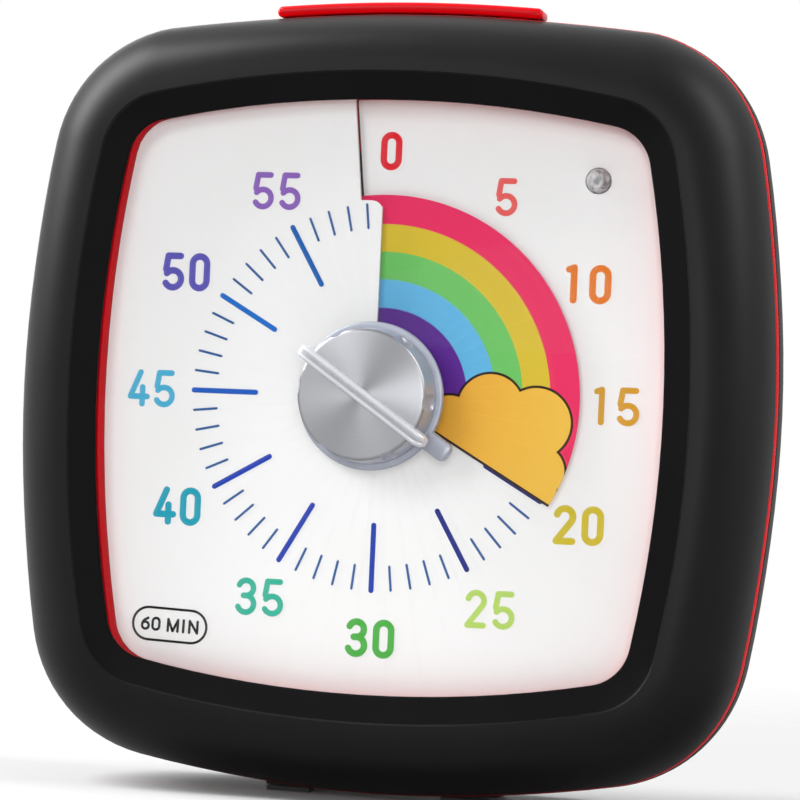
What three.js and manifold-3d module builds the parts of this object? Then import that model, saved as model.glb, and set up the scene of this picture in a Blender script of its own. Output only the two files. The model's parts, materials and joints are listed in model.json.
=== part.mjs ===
// A free-standing visual countdown timer: a rounded square housing with a window, a split
// spiral dial and a coloured disc that a front knob winds out through the dial's slit.
//
// Every piece is drawn facing the reader, in millimetres: x to the right, y up and z towards
// the reader, with z = 0 halfway up the dial's spiral. The last group stands it upright.

import * as THREE from "three";
import { mergeVertices } from "three/addons/utils/BufferGeometryUtils.js";
import Module from "manifold-3d";

const wasm = await Module();
wasm.setup();

const { PI, abs, cos, sin, sqrt } = Math;
const rad = THREE.MathUtils.degToRad;

// Clearances
const seatGap = 0.3; // between pieces that rest on each other
const runGap = 0.2; // round anything that turns
const overrun = 1; // how far a cutting shape runs past what it cuts

// Housing outline: four shallow side arcs joined by corner arcs
const width = 190;
const heightShare = 1.02;
const sideRadius = 285;
const widestCorner = 38;
const wall = 2.5;

// Front bezel
const bezelWidth = 18.8; // widest line to crease, seen from the front
const bulgeSweep = 74; // degrees of the bulge's quarter ellipse in front of the seam
const creaseStep = 0.4;
const creaseCorner = 16.5;
const bandWidth = 6.3; // crease to window edge
const bandRise = 1.4;
const windowCorner = 11;
const lipThickness = 0.8;
const lipChamfer = 0.35;
const skirtLength = 8.4;
const skirtThickness = 2.6;
const seamDepth = 9; // seam behind the dial's middle

// Red frame between the two shells
const flangeThickness = 2.4;
const webThickness = 3.2;
const frameWallThickness = 2.3;
const wallDraft = 0.6;
const shelfWidth = 12;
const shelfThickness = 2;
const shelfDrop = 1.8; // shelf below the lowest place of the disc

// Dial and disc
const dialRise = 3; // climb of the spiral in one turn
const dialThickness = 1;
const dialHole = 9.3;
const dialGap = 0.3; // dial's edge to the red wall
const slitSetOff = 1.1; // slit to the left of the dial's middle
const slitJogHeight = 48.4;
const slitJogWidth = 5.4;
const slitLean = 6.3; // degrees that the slit leans outwards above the jog
const slitCorner = 2.5;
const discRadius = 49;
const discThickness = 0.4;
const discSweep = 358; // degrees
const restMinutes = 20;
const fullMinutes = 60;
const fullTurn = 360;
const dialBossInset = 7.9; // window's edge to the boss
const dialBossY = 22;
const dialBossRadius = 2.6;
const dialScrewRadius = 1;

// Lens
const lensThickness = 1.2;
const lensClearance = 1.7; // lens behind it to the disc at its highest
const lensHole = 5;

// Knob
const knobClearance = 2.2;
const knobFlangeRadius = 17.5;
const knobFlangeHeight = 1.9;
const knobSkirtRadius = 16;
const knobFaceRadius = 15.2;
const knobHeight = 10.7;
const knobFillet = 0.9;
const fluteRadius = 3;
const fluteDepth = 1;
const fluteCount = 6;
const fluteFoot = 3.6; // foot of a flute above the flange
const finLength = 39;
const finThickness = 3;
const finHeight = 3;
const finRoot = 4; // how deep the fin is rooted below the face
const finGroove = 1;
const finGrooveDepth = 0.5;
const pointerReach = 25.5;
const pointerWidth = 3.6;

// Spindle and disc hub
const spindleSquare = 5;
const journalRadius = 2.4;
const socketDepth = 7;
const hubRadius = 5.5;
const ledgeReach = 2.7;
const ledgeThickness = 1;
const hubCollar = 0.5; // hub past the disc at each end
const hubClearance = 1;

// Quartz movement
const moduleSize = 0.6;
const centreTeeth = 40;
const reductionPinionTeeth = 10;
const reductionWheelTeeth = 36;
const rotorTeeth = 12;
const gearThickness = 2;
const gearLevelGap = 1;
const clutchSpace = 2.6; // between the centre wheel and the reduction wheel
const toothBacklash = 0.12;
const reductionBearing = 135; // degrees, seen from the front
const rotorBearing = 20; // degrees, from the reduction gear
const axleRadius = 0.8;
const movementSize = 55;
const movementCorner = 4;
const movementPlate = 1.6;
const movementWall = 1.4;
const movementDepth = 13.6;
const movementEar = 5.5; // corner ears past the cover
const bushingWall = 1.5;
const bushingFlange = 1.6;
const bushingProud = 1.5;
const clipThickness = 0.9;
const springThickness = 0.5;
const springDish = 0.7;
const magnetRadius = 3.6;
const magnetLength = 3;
const statorThickness = 1.5;
const statorWidth = 10;
const statorReach = 17;
const coilThickness = 2.2;
const coilLength = 9;
const movementPostRadius = 3.2;
const movementScrewRadius = 1.2;

// Rear shell
const rearDepth = 29.4;
const rearTaper = 17; // side wall's draw-in towards the back
const rearCorner = 26;
const casePostRadius = 4.6;
const caseBossRadius = 3.6;
const caseHeadRadius = 2.9;
const caseHeadHeight = 2;
const caseScrewRadius = 1.2;
const caseHeadDepth = 5; // screw head's seat behind the frame's web
const caseScrewBite = 7.5;

// Battery bay
const cellClearance = 1; // each row of the bay past its cell
const contactRoom = 9; // length of the bay past its cells
const nippleRadius = 2.6;
const nippleHeight = 1.4;
const bayLength = 58;
const bayHeight = 31; // two rows of AA cells
const bayCentreY = -51;
const bayWall = 3.2;
const bayFloor = 1.6;
const bayClearance = 1.1;
const doorThickness = 2;
const doorRebate = 1.8; // door past the bay on each side
const doorCatch = 3.4; // shell's lip over the bay's lower edge
const doorTabWidth = 8;
const doorTabSpacing = 32;
const doorTabThickness = 1.2;
const doorTabReach = 2.2;
const contactThickness = 0.5;
const contactWidth = 11;
const contactSpringRadius = 3.6;

// Alarm circuit
const boardWidth = 74;
const boardHeight = 24;
const boardThickness = 1.6;
const boardCentreY = 46;
const boardStandoff = 3.3; // board above the rear wall
const boardPinInset = 3;
const boardPinRadius = 1;
const boardPostRadius = 2;
const buzzerRadius = 10;
const soundSlotWidth = 1.6;
const soundSlotPitch = 3.6;
const soundSlotCount = 5;
const switchInset = 14; // board's end to the switch's middle
const switchLength = 14;
const switchWidth = 6;
const sliderStem = 2.2;
const sliderCapLength = 5;
const sliderCapWidth = 3.6;
const sliderCapHeight = 1.2;
const volumeTravel = 6;
const alertTravel = 4;

// Alarm lamp
const lampInset = 18.9; // window's side edge to the lamp
const lampDrop = 17.8; // window's top edge to the lamp
const lampRadius = 2.9;
const lampProud = 3.6;
const lampFlange = 0.6;
const lampBody = 2.4;

// Carry handle
const barLength = 68;
const barHeight = 4;
const barDepth = 8;
const barCorner = 2;
const barBevel = 0.9;
const handleSetBack = 5.8; // handle's middle behind the seam
const legX = 26;
const legWidth = 7;
const legDepth = 3.6;
const handleTravel = 26;
const guideLength = 14;
const guideWall = 2.4;
const hookHeight = 3.5;
const hookReach = 2;

// Feet
const footX = 22;
const footWidth = 11;
const footDepth = 5;
const footThickness = 1.2;
const floorDrop = 0.6; // floor below the housing's lowest point
const frontFootSet = 5.6; // foot's middle behind the seam
const rearFootSet = 24;

// Facets
const sideSteps = 4;
const quarterSteps = 4;
const cornerSteps = 5;
const bulgeSteps = 4;
const rearSteps = 4;
const roundSteps = 20;
const smallSteps = 8;
const turnSteps = 48;
const ledgeSteps = 24;

// Places that follow from the sizes above
const widestHalf = width / 2;
const halfHeight = widestHalf * heightShare;
const creaseHalf = widestHalf - bezelWidth;
const windowHalf = creaseHalf - bandWidth;
const dialBossX = windowHalf - dialBossInset;
const lampX = windowHalf - lampInset;
const lampY = windowHalf * heightShare - lampDrop;
const switchX = boardWidth / 2 - switchInset;

const dialHigh = dialRise / 2;
const discLead = dialRise / 2; // disc's height over the dial, both mid-surfaces
const lensBack = dialRise + discThickness / 2 + lensClearance;
const lensFront = lensBack + lensThickness;
const lipBack = lensFront + seatGap;
const lipFront = lipBack + lipThickness;
const crease = lipFront + bandRise;
const crest = crease + creaseStep;
const seam = -seamDepth;
const bulgeEnd = rad(bulgeSweep);
const widest = (seam - crest * cos(bulgeEnd)) / (1 - cos(bulgeEnd));

const flangeFront = seam - seatGap;
const flangeBack = flangeFront - flangeThickness;
const webBack = flangeFront - webThickness;
const rearRim = flangeBack - seatGap;
const rearFace = rearRim - rearDepth;
const rearInner = rearFace + wall;
const shelfFront = -dialRise - discThickness / 2 - shelfDrop;
const shelfBack = shelfFront - shelfThickness;
const frameWallTop = lensBack - seatGap;
const lensHalf = windowHalf + frameWallThickness - seatGap;
const frameOuterHalf = windowHalf + frameWallThickness;

const ledgeLow = -dialRise - discThickness / 2 - seatGap - ledgeThickness;
const spindleShoulder = ledgeLow - hubClearance / 2 - runGap;
const bushingFront = spindleShoulder - seatGap;
const movementFront = bushingFront - bushingProud;
const movementBack = movementFront - movementPlate;
const wheelLevel = movementBack - gearLevelGap; // front of the centre wheel
const secondLevel = wheelLevel - gearThickness - clutchSpace;
const magnetFront = secondLevel - gearThickness - gearLevelGap;
const coverFloor = movementBack - seatGap - movementDepth;

const knobBase = lensFront + knobClearance;
const knobFace = knobBase + knobHeight;

const cellDiameter = bayHeight / 2 - cellClearance;
const cellLength = bayLength - contactRoom;

// Clockwise angles are read from 12 o'clock, as on the dial.
const restTurn = (fullTurn * restMinutes) / fullMinutes;
const dialAngle = (clockwise) => rad(90 - clockwise);
const spiralAt = (clockwise) => (dialRise * clockwise) / fullTurn - dialHigh;

// Materials
const paint = (color, roughness, metalness = 0) =>
  new THREE.MeshStandardMaterial({ color, roughness, metalness });
const blackPlastic = paint(0x1c1c1c, 0.45);
const redPlastic = paint(0xd31322, 0.4);
const whiteDial = paint(0xfbfbfb, 0.6);
const discFilm = paint(0xeb3064, 0.5);
const silverPlastic = paint(0xb9bcc0, 0.35, 0.6);
const clearPlastic = new THREE.MeshStandardMaterial({
  color: 0xffffff,
  roughness: 0.05,
  transparent: true,
  opacity: 0.15,
});
const whitePlastic = paint(0xe8e8e4, 0.5);
const steel = paint(0x9a9da0, 0.35, 1);
const brass = paint(0xb9964a, 0.35, 1);
const copper = paint(0xb5652f, 0.4, 1);
const greenBoard = paint(0x1f6b3a, 0.5);
const darkRubber = paint(0x2a2a2a, 0.9);
const cellJacket = paint(0x2f5f8f, 0.4, 0.3);

// A closed geometry as a solid, and a solid as a geometry
function solidOf(geometry) {
  const bare = new THREE.BufferGeometry();
  bare.setAttribute("position", geometry.getAttribute("position"));
  bare.setIndex(geometry.index);
  const merged = mergeVertices(bare, 1e-4);
  return new wasm.Manifold(
    new wasm.Mesh({
      numProp: 3,
      vertProperties: new Float32Array(merged.getAttribute("position").array),
      triVerts: new Uint32Array(merged.index.array),
    }),
  );
}

function geometryOf(solid) {
  const mesh = solid.getMesh();
  const geometry = new THREE.BufferGeometry();
  geometry.setAttribute("position", new THREE.BufferAttribute(mesh.vertProperties, 3));
  geometry.setIndex(new THREE.BufferAttribute(mesh.triVerts, 1));
  geometry.computeVertexNormals();
  return geometry;
}

const combine = (method, first, rest) =>
  geometryOf(rest.map(solidOf).reduce((whole, next) => whole[method](next), solidOf(first)));
const join = (first, ...rest) => combine("add", first, rest);
const cut = (first, ...rest) => combine("subtract", first, rest);
const common = (first, ...rest) => combine("intersect", first, rest);

// Basic shapes, each between two heights
function block(x0, x1, y0, y1, z0, z1) {
  return new THREE.BoxGeometry(abs(x1 - x0), abs(y1 - y0), abs(z1 - z0)).translate(
    (x0 + x1) / 2,
    (y0 + y1) / 2,
    (z0 + z1) / 2,
  );
}

function rod(radius, z0, z1, x = 0, y = 0, steps = roundSteps) {
  return new THREE.CylinderGeometry(radius, radius, abs(z1 - z0), steps)
    .rotateX(PI / 2)
    .translate(x, y, (z0 + z1) / 2);
}

// A profile of [radius, height] points turned about the z axis
function turned(profile, steps = roundSteps) {
  const points = profile.map(([radius, height]) => new THREE.Vector2(radius, height));
  return new THREE.LatheGeometry(points, steps).rotateX(PI / 2);
}

function plate(points, z0, z1) {
  const shape = new THREE.Shape(points);
  return new THREE.ExtrudeGeometry(shape, { depth: z1 - z0, bevelEnabled: false }).translate(0, 0, z0);
}

function roundedBlock(halfX, halfY, corner, z0, z1, x = 0, y = 0) {
  const centres = [
    [halfX - corner, halfY - corner],
    [corner - halfX, halfY - corner],
    [corner - halfX, corner - halfY],
    [halfX - corner, corner - halfY],
  ];
  const points = centres.flatMap(([cx, cy], quarter) =>
    Array.from({ length: quarterSteps + 1 }, (_, i) => {
      const angle = ((quarter + i / quarterSteps) * PI) / 2;
      return new THREE.Vector2(x + cx + corner * cos(angle), y + cy + corner * sin(angle));
    }),
  );
  return plate(points, z0, z1);
}

// The housing's outline at a half width, as points counterclockwise from the middle of a side
function outline(halfWidth, corner) {
  const offset = halfWidth - sideRadius;
  const reach = sideRadius - corner;
  const centre = (offset + sqrt(2 * reach ** 2 - offset ** 2)) / 2;
  const meet = Math.atan2(centre, centre - offset);
  const points = [];
  for (let quarter = 0; quarter < 4; quarter++) {
    const turn = (quarter * PI) / 2;
    const add = (cx, cy, radius, angle) => {
      const x = cx + radius * cos(angle);
      const y = cy + radius * sin(angle);
      points.push(
        new THREE.Vector2(x * cos(turn) - y * sin(turn), (x * sin(turn) + y * cos(turn)) * heightShare),
      );
    };
    for (let i = 0; i < sideSteps; i++) add(offset, 0, sideRadius, meet * ((2 * i) / sideSteps - 1));
    for (let i = 0; i < cornerSteps; i++)
      add(centre, centre, corner, meet + (PI / 2 - 2 * meet) * (i / cornerSteps));
  }
  return points;
}

// Height of the housing's top edge over a place across it
const crownAt = (x) => (widestHalf - sideRadius + sqrt(sideRadius ** 2 - x ** 2)) * heightShare;

// Half width and corner of the bulge's quarter ellipse, from its crest to the widest line
const bulgeHalf = (angle) =>
  creaseHalf + creaseStep + (widestHalf - creaseHalf - creaseStep) * sin(angle);
const bulgeCorner = (angle) => creaseCorner + (widestCorner - creaseCorner) * sin(angle);

function sideAt(z, inset = 0) {
  const angle = Math.acos((z - widest) / (crest - widest));
  return [bulgeHalf(angle) - inset, bulgeCorner(angle) - inset, z];
}

// Where an outline's corner crosses its diagonal
function cornerOf(halfWidth, corner) {
  const offset = halfWidth - sideRadius;
  const centre = (offset + sqrt(2 * (sideRadius - corner) ** 2 - offset ** 2)) / 2;
  return centre + corner / sqrt(2);
}

// A skin over rings of equal count: joined end to end when looped, otherwise capped flat
function loft(rings, looped = true) {
  const count = rings[0].length;
  const index = [];
  const bands = looped ? rings.length : rings.length - 1;
  for (let i = 0; i < bands; i++)
    for (let j = 0; j < count; j++) {
      const next = (j + 1) % count;
      const row = i * count;
      const above = ((i + 1) % rings.length) * count;
      index.push(row + j, row + next, above + j, row + next, above + next, above + j);
    }
  if (!looped) {
    const last = (rings.length - 1) * count;
    for (let j = 1; j < count - 1; j++) index.push(0, j + 1, j, last, last + j, last + j + 1);
  }
  const geometry = new THREE.BufferGeometry().setFromPoints(rings.flat());
  return geometry.setIndex(index);
}

const ring = ([halfWidth, corner, z]) =>
  outline(halfWidth, corner).map((p) => new THREE.Vector3(p.x, p.y, z));
const outlineLoft = (profile, looped) => loft(profile.map(ring), looped);

// A spiral sheet that falls counterclockwise from its start. Its rim follows reach(angle).
function spiralSheet(inner, reach, startClockwise, sweep, startHeight, thickness, perTurn = turnSteps) {
  const steps = Math.ceil((perTurn * sweep) / fullTurn);
  const rings = [];
  for (let i = 0; i <= steps; i++) {
    const turned = (sweep * i) / steps;
    const angle = dialAngle(startClockwise) + rad(turned);
    const z = startHeight - (dialRise * turned) / fullTurn;
    const outer = reach(angle);
    const at = (radius, height) =>
      new THREE.Vector3(radius * cos(angle), radius * sin(angle), height);
    const half = thickness / 2;
    rings.push([at(inner, z - half), at(inner, z + half), at(outer, z + half), at(outer, z - half)]);
  }
  return loft(rings, false);
}

// A spur gear with straight-sided teeth, its first tooth at the given angle
function gear(teeth, z0, z1, bore, firstTooth = 0) {
  const pitch = (moduleSize * teeth) / 2;
  const tip = pitch + moduleSize * 0.9;
  const root = pitch - moduleSize * 1.2;
  const tooth = (2 * PI) / teeth;
  const backlash = toothBacklash / pitch;
  const points = [];
  for (let i = 0; i < teeth; i++) {
    const middle = firstTooth + i * tooth;
    const corners = [
      [root, -0.3 * tooth + backlash],
      [tip, -0.11 * tooth],
      [tip, 0.11 * tooth],
      [root, 0.3 * tooth - backlash],
    ];
    for (const [radius, turn] of corners)
      points.push(new THREE.Vector2(radius * cos(middle + turn), radius * sin(middle + turn)));
  }
  const shape = new THREE.Shape(points);
  if (bore) shape.holes.push(new THREE.Path().absarc(0, 0, bore, 0, 2 * PI, true));
  return new THREE.ExtrudeGeometry(shape, {
    depth: z1 - z0,
    bevelEnabled: false,
    curveSegments: smallSteps / 2,
  }).translate(0, 0, z0);
}

// A pan-head screw that points towards +z
const screw = (headRadius, headHeight, shankRadius, seat, tipHeight, x, y) =>
  join(
    rod(headRadius, seat - headHeight, seat, x, y, smallSteps),
    rod(shankRadius, seat - headHeight / 4, tipHeight, x, y, smallSteps),
  );

// The same with a cross recess in its head
function crossScrew(headRadius, headHeight, shankRadius, seat, tipHeight, x, y) {
  const slot = headRadius / 3;
  const recess = headHeight / 2;
  const body = screw(headRadius, headHeight, shankRadius, seat, tipHeight, x, y);
  const low = seat - headHeight - overrun;
  const floor = seat - headHeight + recess;
  const arm = headRadius * 0.65;
  return cut(
    body,
    block(x - arm, x + arm, y - slot / 2, y + slot / 2, low, floor),
    block(x - slot / 2, x + slot / 2, y - arm, y + arm, low, floor),
  );
}

const root = new THREE.Group();
function piece(name, geometry, material) {
  const mesh = new THREE.Mesh(geometry, material);
  mesh.name = name;
  root.add(mesh);
  return mesh;
}

const quadrants = [
  [1, 1],
  [-1, 1],
  [-1, -1],
  [1, -1],
];
const casePost = (cornerOf(windowHalf, windowCorner) + cornerOf(widestHalf, widestCorner)) / 2;
const casePostY = casePost * heightShare;
const footSides = [-1, 1];

// Front bezel: a rounded bulge, a crisp crease, a sloping matt band and the window's lip
function bulge(step) {
  const angle = (step / bulgeSteps) * bulgeEnd;
  const forward = (cos(angle) - cos(bulgeEnd)) / (1 - cos(bulgeEnd));
  return {
    half: bulgeHalf(angle),
    corner: bulgeCorner(angle),
    z: seam + (crest - seam) * forward,
    inX: (wall * sin(angle)) / sin(bulgeEnd),
    inZ: wall * forward,
  };
}

function frontBezel() {
  const steps = Array.from({ length: bulgeSteps + 1 }, (_, i) => bulge(i));
  const outside = [...steps].reverse().map((s) => [s.half, s.corner, s.z]);
  const inside = steps.map((s) => [s.half - s.inX, s.corner - s.inX, s.z - s.inZ]);
  const pocket = frameOuterHalf + seatGap;
  const pocketCorner = windowCorner + frameWallThickness + seatGap;
  const skirt = pocket + skirtThickness;
  const skirtCorner = pocketCorner + skirtThickness;
  const skirtEnd = lipBack - skirtLength;
  const body = outlineLoft([
    ...outside,
    [creaseHalf, creaseCorner, crease],
    [windowHalf + lipChamfer, windowCorner + lipChamfer, lipFront],
    [windowHalf, windowCorner, lipFront - lipChamfer],
    [windowHalf, windowCorner, lipBack],
    [pocket, pocketCorner, lipBack],
    [pocket, pocketCorner, skirtEnd],
    [skirt, skirtCorner, skirtEnd],
    [skirt, skirtCorner, lipBack],
    ...inside,
  ]);
  const envelope = outlineLoft(
    outside.map(([half, corner, z]) => [
      half - wall / 2,
      corner - wall / 2,
      z - seam < wall ? z : z - wall / 2,
    ]),
    false,
  );
  const bosses = quadrants.map(([sx, sy]) =>
    common(rod(caseBossRadius, seam, crest, sx * casePost, sy * casePostY, smallSteps), envelope),
  );
  const pilots = quadrants.map(([sx, sy]) =>
    rod(
      caseScrewRadius + seatGap,
      seam - overrun,
      seam + caseScrewBite,
      sx * casePost,
      sy * casePostY,
      smallSteps,
    ),
  );
  return cut(join(body, ...bosses), ...pilots);
}

piece("front_bezel", frontBezel(), blackPlastic);

// Red frame: the line round the seam, the wall inside the window and the dial's shelf
function midFrame() {
  const [rimHalf, rimCorner] = sideAt(rearRim, wall + seatGap);
  const shelfHalf = windowHalf - shelfWidth;
  const body = outlineLoft([
    sideAt(flangeBack),
    sideAt(flangeFront),
    [frameOuterHalf, windowCorner + frameWallThickness, flangeFront],
    [frameOuterHalf, windowCorner + frameWallThickness, frameWallTop],
    [windowHalf, windowCorner, frameWallTop],
    [windowHalf - wallDraft, windowCorner - wallDraft, shelfFront],
    [shelfHalf, windowCorner - wallDraft, shelfFront],
    [shelfHalf, windowCorner - wallDraft, shelfBack],
    [windowHalf - wallDraft, windowCorner - wallDraft, shelfBack],
    [windowHalf - wallDraft, windowCorner - wallDraft, webBack],
    [rimHalf, rimCorner, webBack],
    [rimHalf, rimCorner, flangeBack],
  ]);
  const caseHoles = quadrants.map(([sx, sy]) =>
    rod(
      caseScrewRadius + seatGap,
      webBack - overrun,
      flangeFront + overrun,
      sx * casePost,
      sy * casePostY,
      smallSteps,
    ),
  );
  const dialHoles = quadrants.map(([sx, sy]) =>
    rod(
      dialScrewRadius + seatGap,
      shelfBack - overrun,
      shelfFront + overrun,
      sx * dialBossX,
      sy * dialBossY,
      smallSteps,
    ),
  );
  return cut(body, ...caseHoles, ...dialHoles);
}

piece("mid_frame", midFrame(), redPlastic);

// Clear lens
function lens() {
  const corner = windowCorner + frameWallThickness - seatGap;
  const body = outlineLoft(
    [
      [lensHalf, corner, lensBack],
      [lensHalf, corner, lensFront],
    ],
    false,
  );
  return cut(body, rod(lensHole, lensBack - overrun, lensFront + overrun));
}

piece("lens", lens(), clearPlastic);

// Dial: one spiral turn, split at the top, where its high edge overlooks its low edge
const dialHalf = windowHalf - wallDraft - dialGap;

function slitSide(side) {
  // The slit seen from the front: up the middle, round the jog and on to the rim
  const far = (widestHalf * side) / 2;
  const top = halfHeight;
  const jog = -slitSetOff - slitJogWidth;
  const lean = (top - slitJogHeight) * Math.tan(rad(slitLean));
  const corner = Array.from({ length: quarterSteps + 1 }, (_, i) => {
    const angle = (i / quarterSteps) * (PI / 2);
    return new THREE.Vector2(
      slitCorner * (cos(angle) - 1) - slitSetOff,
      slitJogHeight + slitCorner * (sin(angle) - 1),
    );
  });
  return [
    new THREE.Vector2(-slitSetOff, 0),
    ...corner,
    new THREE.Vector2(jog, slitJogHeight),
    new THREE.Vector2(jog - lean, top),
    new THREE.Vector2(far, top),
    new THREE.Vector2(far, 0),
  ];
}

function dialPlate() {
  const spare = 10; // degrees of spiral past the slit at each end, trimmed to its line
  const sweep = fullTurn + 2 * spare;
  const startHeight = dialHigh + (dialRise * spare) / fullTurn;
  const deep = dialRise * 2;
  const sheet = common(
    spiralSheet(dialHole, () => dialHalf * 2, spare, sweep, startHeight, dialThickness),
    plate(outline(dialHalf, windowCorner - wallDraft), -deep, deep),
  );
  const bosses = quadrants.map(([sx, sy]) => {
    const bearing = THREE.MathUtils.radToDeg(Math.atan2(sx * dialBossX, sy * dialBossY));
    const clockwise = (bearing + fullTurn) % fullTurn;
    return rod(
      dialBossRadius,
      shelfFront + seatGap,
      spiralAt(clockwise),
      sx * dialBossX,
      sy * dialBossY,
      smallSteps,
    );
  });
  const pilots = quadrants.map(([sx, sy]) =>
    rod(
      dialScrewRadius + seatGap,
      shelfFront - overrun,
      -dialHigh - dialThickness,
      sx * dialBossX,
      sy * dialBossY,
      smallSteps,
    ),
  );
  return cut(
    join(
      cut(sheet, plate(slitSide(1), 0, deep), plate(slitSide(-1), -deep, 0)),
      ...bosses,
    ),
    ...pilots,
    rod(lampRadius + seatGap, -deep, deep, lampX, lampY),
  );
}

piece("dial_plate", dialPlate(), whiteDial);

// Coloured disc: a thin spiral of the dial's own pitch, shown at its rest minutes
const leadHeight = spiralAt(restTurn) + discLead;
const discInner = hubRadius + seatGap;
piece(
  "time_disc",
  spiralSheet(discInner, () => discRadius, restTurn, discSweep, leadHeight, discThickness),
  discFilm,
);

// Disc hub: slides on the spindle's square and carries the disc on a spiral ledge
function discHub() {
  const top = leadHeight + discThickness / 2 + hubCollar;
  const ledgeStart = leadHeight - discThickness / 2 - seatGap - ledgeThickness / 2;
  const bottom = ledgeStart - dialRise - ledgeThickness / 2;
  const ledge = spiralSheet(
    (hubRadius + spindleSquare) / 2,
    () => hubRadius + ledgeReach,
    restTurn,
    discSweep,
    ledgeStart,
    ledgeThickness,
    ledgeSteps,
  );
  const bore = spindleSquare / 2 + seatGap;
  return cut(
    join(rod(hubRadius, bottom, top), ledge),
    block(-bore, bore, -bore, bore, bottom - overrun, top + overrun).rotateZ(dialAngle(restTurn)),
  );
}

piece("disc_hub", discHub(), whitePlastic);

// Knob: flanged and fluted, with a grip fin in line with its pointer
function knob() {
  const flangeTop = knobBase + knobFlangeHeight;
  const body = turned(
    [
      [0, knobBase],
      [knobFlangeRadius - knobFillet, knobBase],
      [knobFlangeRadius, knobBase + knobFillet],
      [knobFlangeRadius - knobFillet / 2, flangeTop - knobFillet / 4],
      [knobSkirtRadius, flangeTop + knobFillet / 4],
      [knobFaceRadius, knobFace - knobFillet],
      [knobFaceRadius - knobFillet / 4, knobFace - knobFillet / 4],
      [knobFaceRadius - knobFillet, knobFace],
      [0, knobFace],
    ],
    roundSteps * 2,
  );
  const middleRadius = (knobSkirtRadius + knobFaceRadius) / 2;
  const fluteCentre = middleRadius + fluteRadius - fluteDepth;
  const foot = flangeTop + fluteFoot;
  const flutes = Array.from({ length: fluteCount }, (_, i) => {
    const angle = dialAngle(restTurn) + ((i + 0.5) * 2 * PI) / fluteCount;
    return turned(
      [
        [0, foot - fluteRadius],
        [fluteRadius * sin(PI / 6), foot - fluteRadius * cos(PI / 6)],
        [fluteRadius * sin(PI / 3), foot - fluteRadius * cos(PI / 3)],
        [fluteRadius, foot],
        [fluteRadius, knobFace + overrun],
        [0, knobFace + overrun],
      ],
      smallSteps,
    ).translate(fluteCentre * cos(angle), fluteCentre * sin(angle), 0);
  });
  const finTop = knobFace + finHeight;
  const finHalf = finLength / 2;
  const fin = roundedBlock(
    finHalf,
    finThickness / 2,
    finThickness / 2 - seatGap / 2,
    knobFace - finRoot,
    finTop,
  );
  const groove = block(
    -finHalf + finThickness,
    finHalf - finThickness,
    -finGroove / 2,
    finGroove / 2,
    finTop - finGrooveDepth,
    finTop + overrun,
  );
  const pointer = roundedBlock(
    pointerReach / 2,
    pointerWidth / 2,
    pointerWidth / 2 - seatGap / 2,
    knobBase,
    flangeTop,
    pointerReach / 2,
  );
  const socket = spindleSquare / 2 + seatGap;
  const hollow = block(-socket, socket, -socket, socket, knobBase - overrun, knobBase + socketDepth);
  const turnToRest = (shape) => shape.rotateZ(dialAngle(restTurn));
  return cut(
    join(cut(body, ...flutes), turnToRest(fin), turnToRest(pointer)),
    turnToRest(groove),
    turnToRest(hollow),
  );
}

piece("knob", knob(), silverPlastic);

// Spindle: square through the knob and hub, round in the bushing and gear
const wheelBack = wheelLevel - gearThickness;
const springBack = wheelBack - seatGap - springDish;
const clipBack = springBack - seatGap - clipThickness;
const spindleEnd = clipBack - overrun;

function spindle() {
  const half = spindleSquare / 2;
  const square = block(-half, half, -half, half, spindleShoulder, knobBase + socketDepth - seatGap);
  const journal = rod(journalRadius, spindleEnd, spindleShoulder + overrun);
  return join(square.rotateZ(dialAngle(restTurn)), journal);
}

piece("spindle", spindle(), steel);

// A washer or sleeve: a ring turned about the spindle
const sleeve = (inner, outer, z0, z1, steps = roundSteps) =>
  turned(
    [
      [inner, z0],
      [outer, z0],
      [outer, z1],
      [inner, z1],
      [inner, z0],
    ],
    steps,
  );

const bushingBore = journalRadius + runGap;
const bushingOuter = bushingBore + bushingWall;
const flangeUnder = movementFront + seatGap;
piece(
  "spindle_bushing",
  turned([
    [bushingBore, movementBack],
    [bushingOuter, movementBack],
    [bushingOuter, flangeUnder],
    [bushingOuter + bushingFlange, flangeUnder],
    [bushingOuter + bushingFlange, bushingFront],
    [bushingBore, bushingFront],
    [bushingBore, movementBack],
  ]),
  brass,
);

// Friction clutch: a dished spring presses the centre wheel to the spindle's clip
piece(
  "clutch_spring",
  turned([
    [bushingBore, wheelBack - seatGap - springThickness],
    [bushingOuter + bushingFlange, springBack],
    [bushingOuter + bushingFlange, springBack + springThickness],
    [bushingBore, wheelBack - seatGap],
    [bushingBore, wheelBack - seatGap - springThickness],
  ]),
  steel,
);
piece(
  "spindle_clip",
  sleeve(bushingBore, bushingOuter, clipBack, springBack - seatGap, smallSteps),
  steel,
);

// Gear train: centre wheel, reduction gear and motor rotor, in mesh at rest
const centrePitch = (moduleSize * centreTeeth) / 2;
const pinionPitch = (moduleSize * reductionPinionTeeth) / 2;
const wheelPitch = (moduleSize * reductionWheelTeeth) / 2;
const rotorPitch = (moduleSize * rotorTeeth) / 2;
const reductionAngle = rad(reductionBearing);
const rotorAngle = rad(rotorBearing);
const reductionX = (centrePitch + pinionPitch) * cos(reductionAngle);
const reductionY = (centrePitch + pinionPitch) * sin(reductionAngle);
const rotorX = reductionX + (wheelPitch + rotorPitch) * cos(rotorAngle);
const rotorY = reductionY + (wheelPitch + rotorPitch) * sin(rotorAngle);
const halfTooth = (teeth) => PI / teeth;

piece(
  "centre_wheel",
  gear(centreTeeth, wheelBack, wheelLevel, bushingBore, reductionAngle),
  brass,
);

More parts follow.
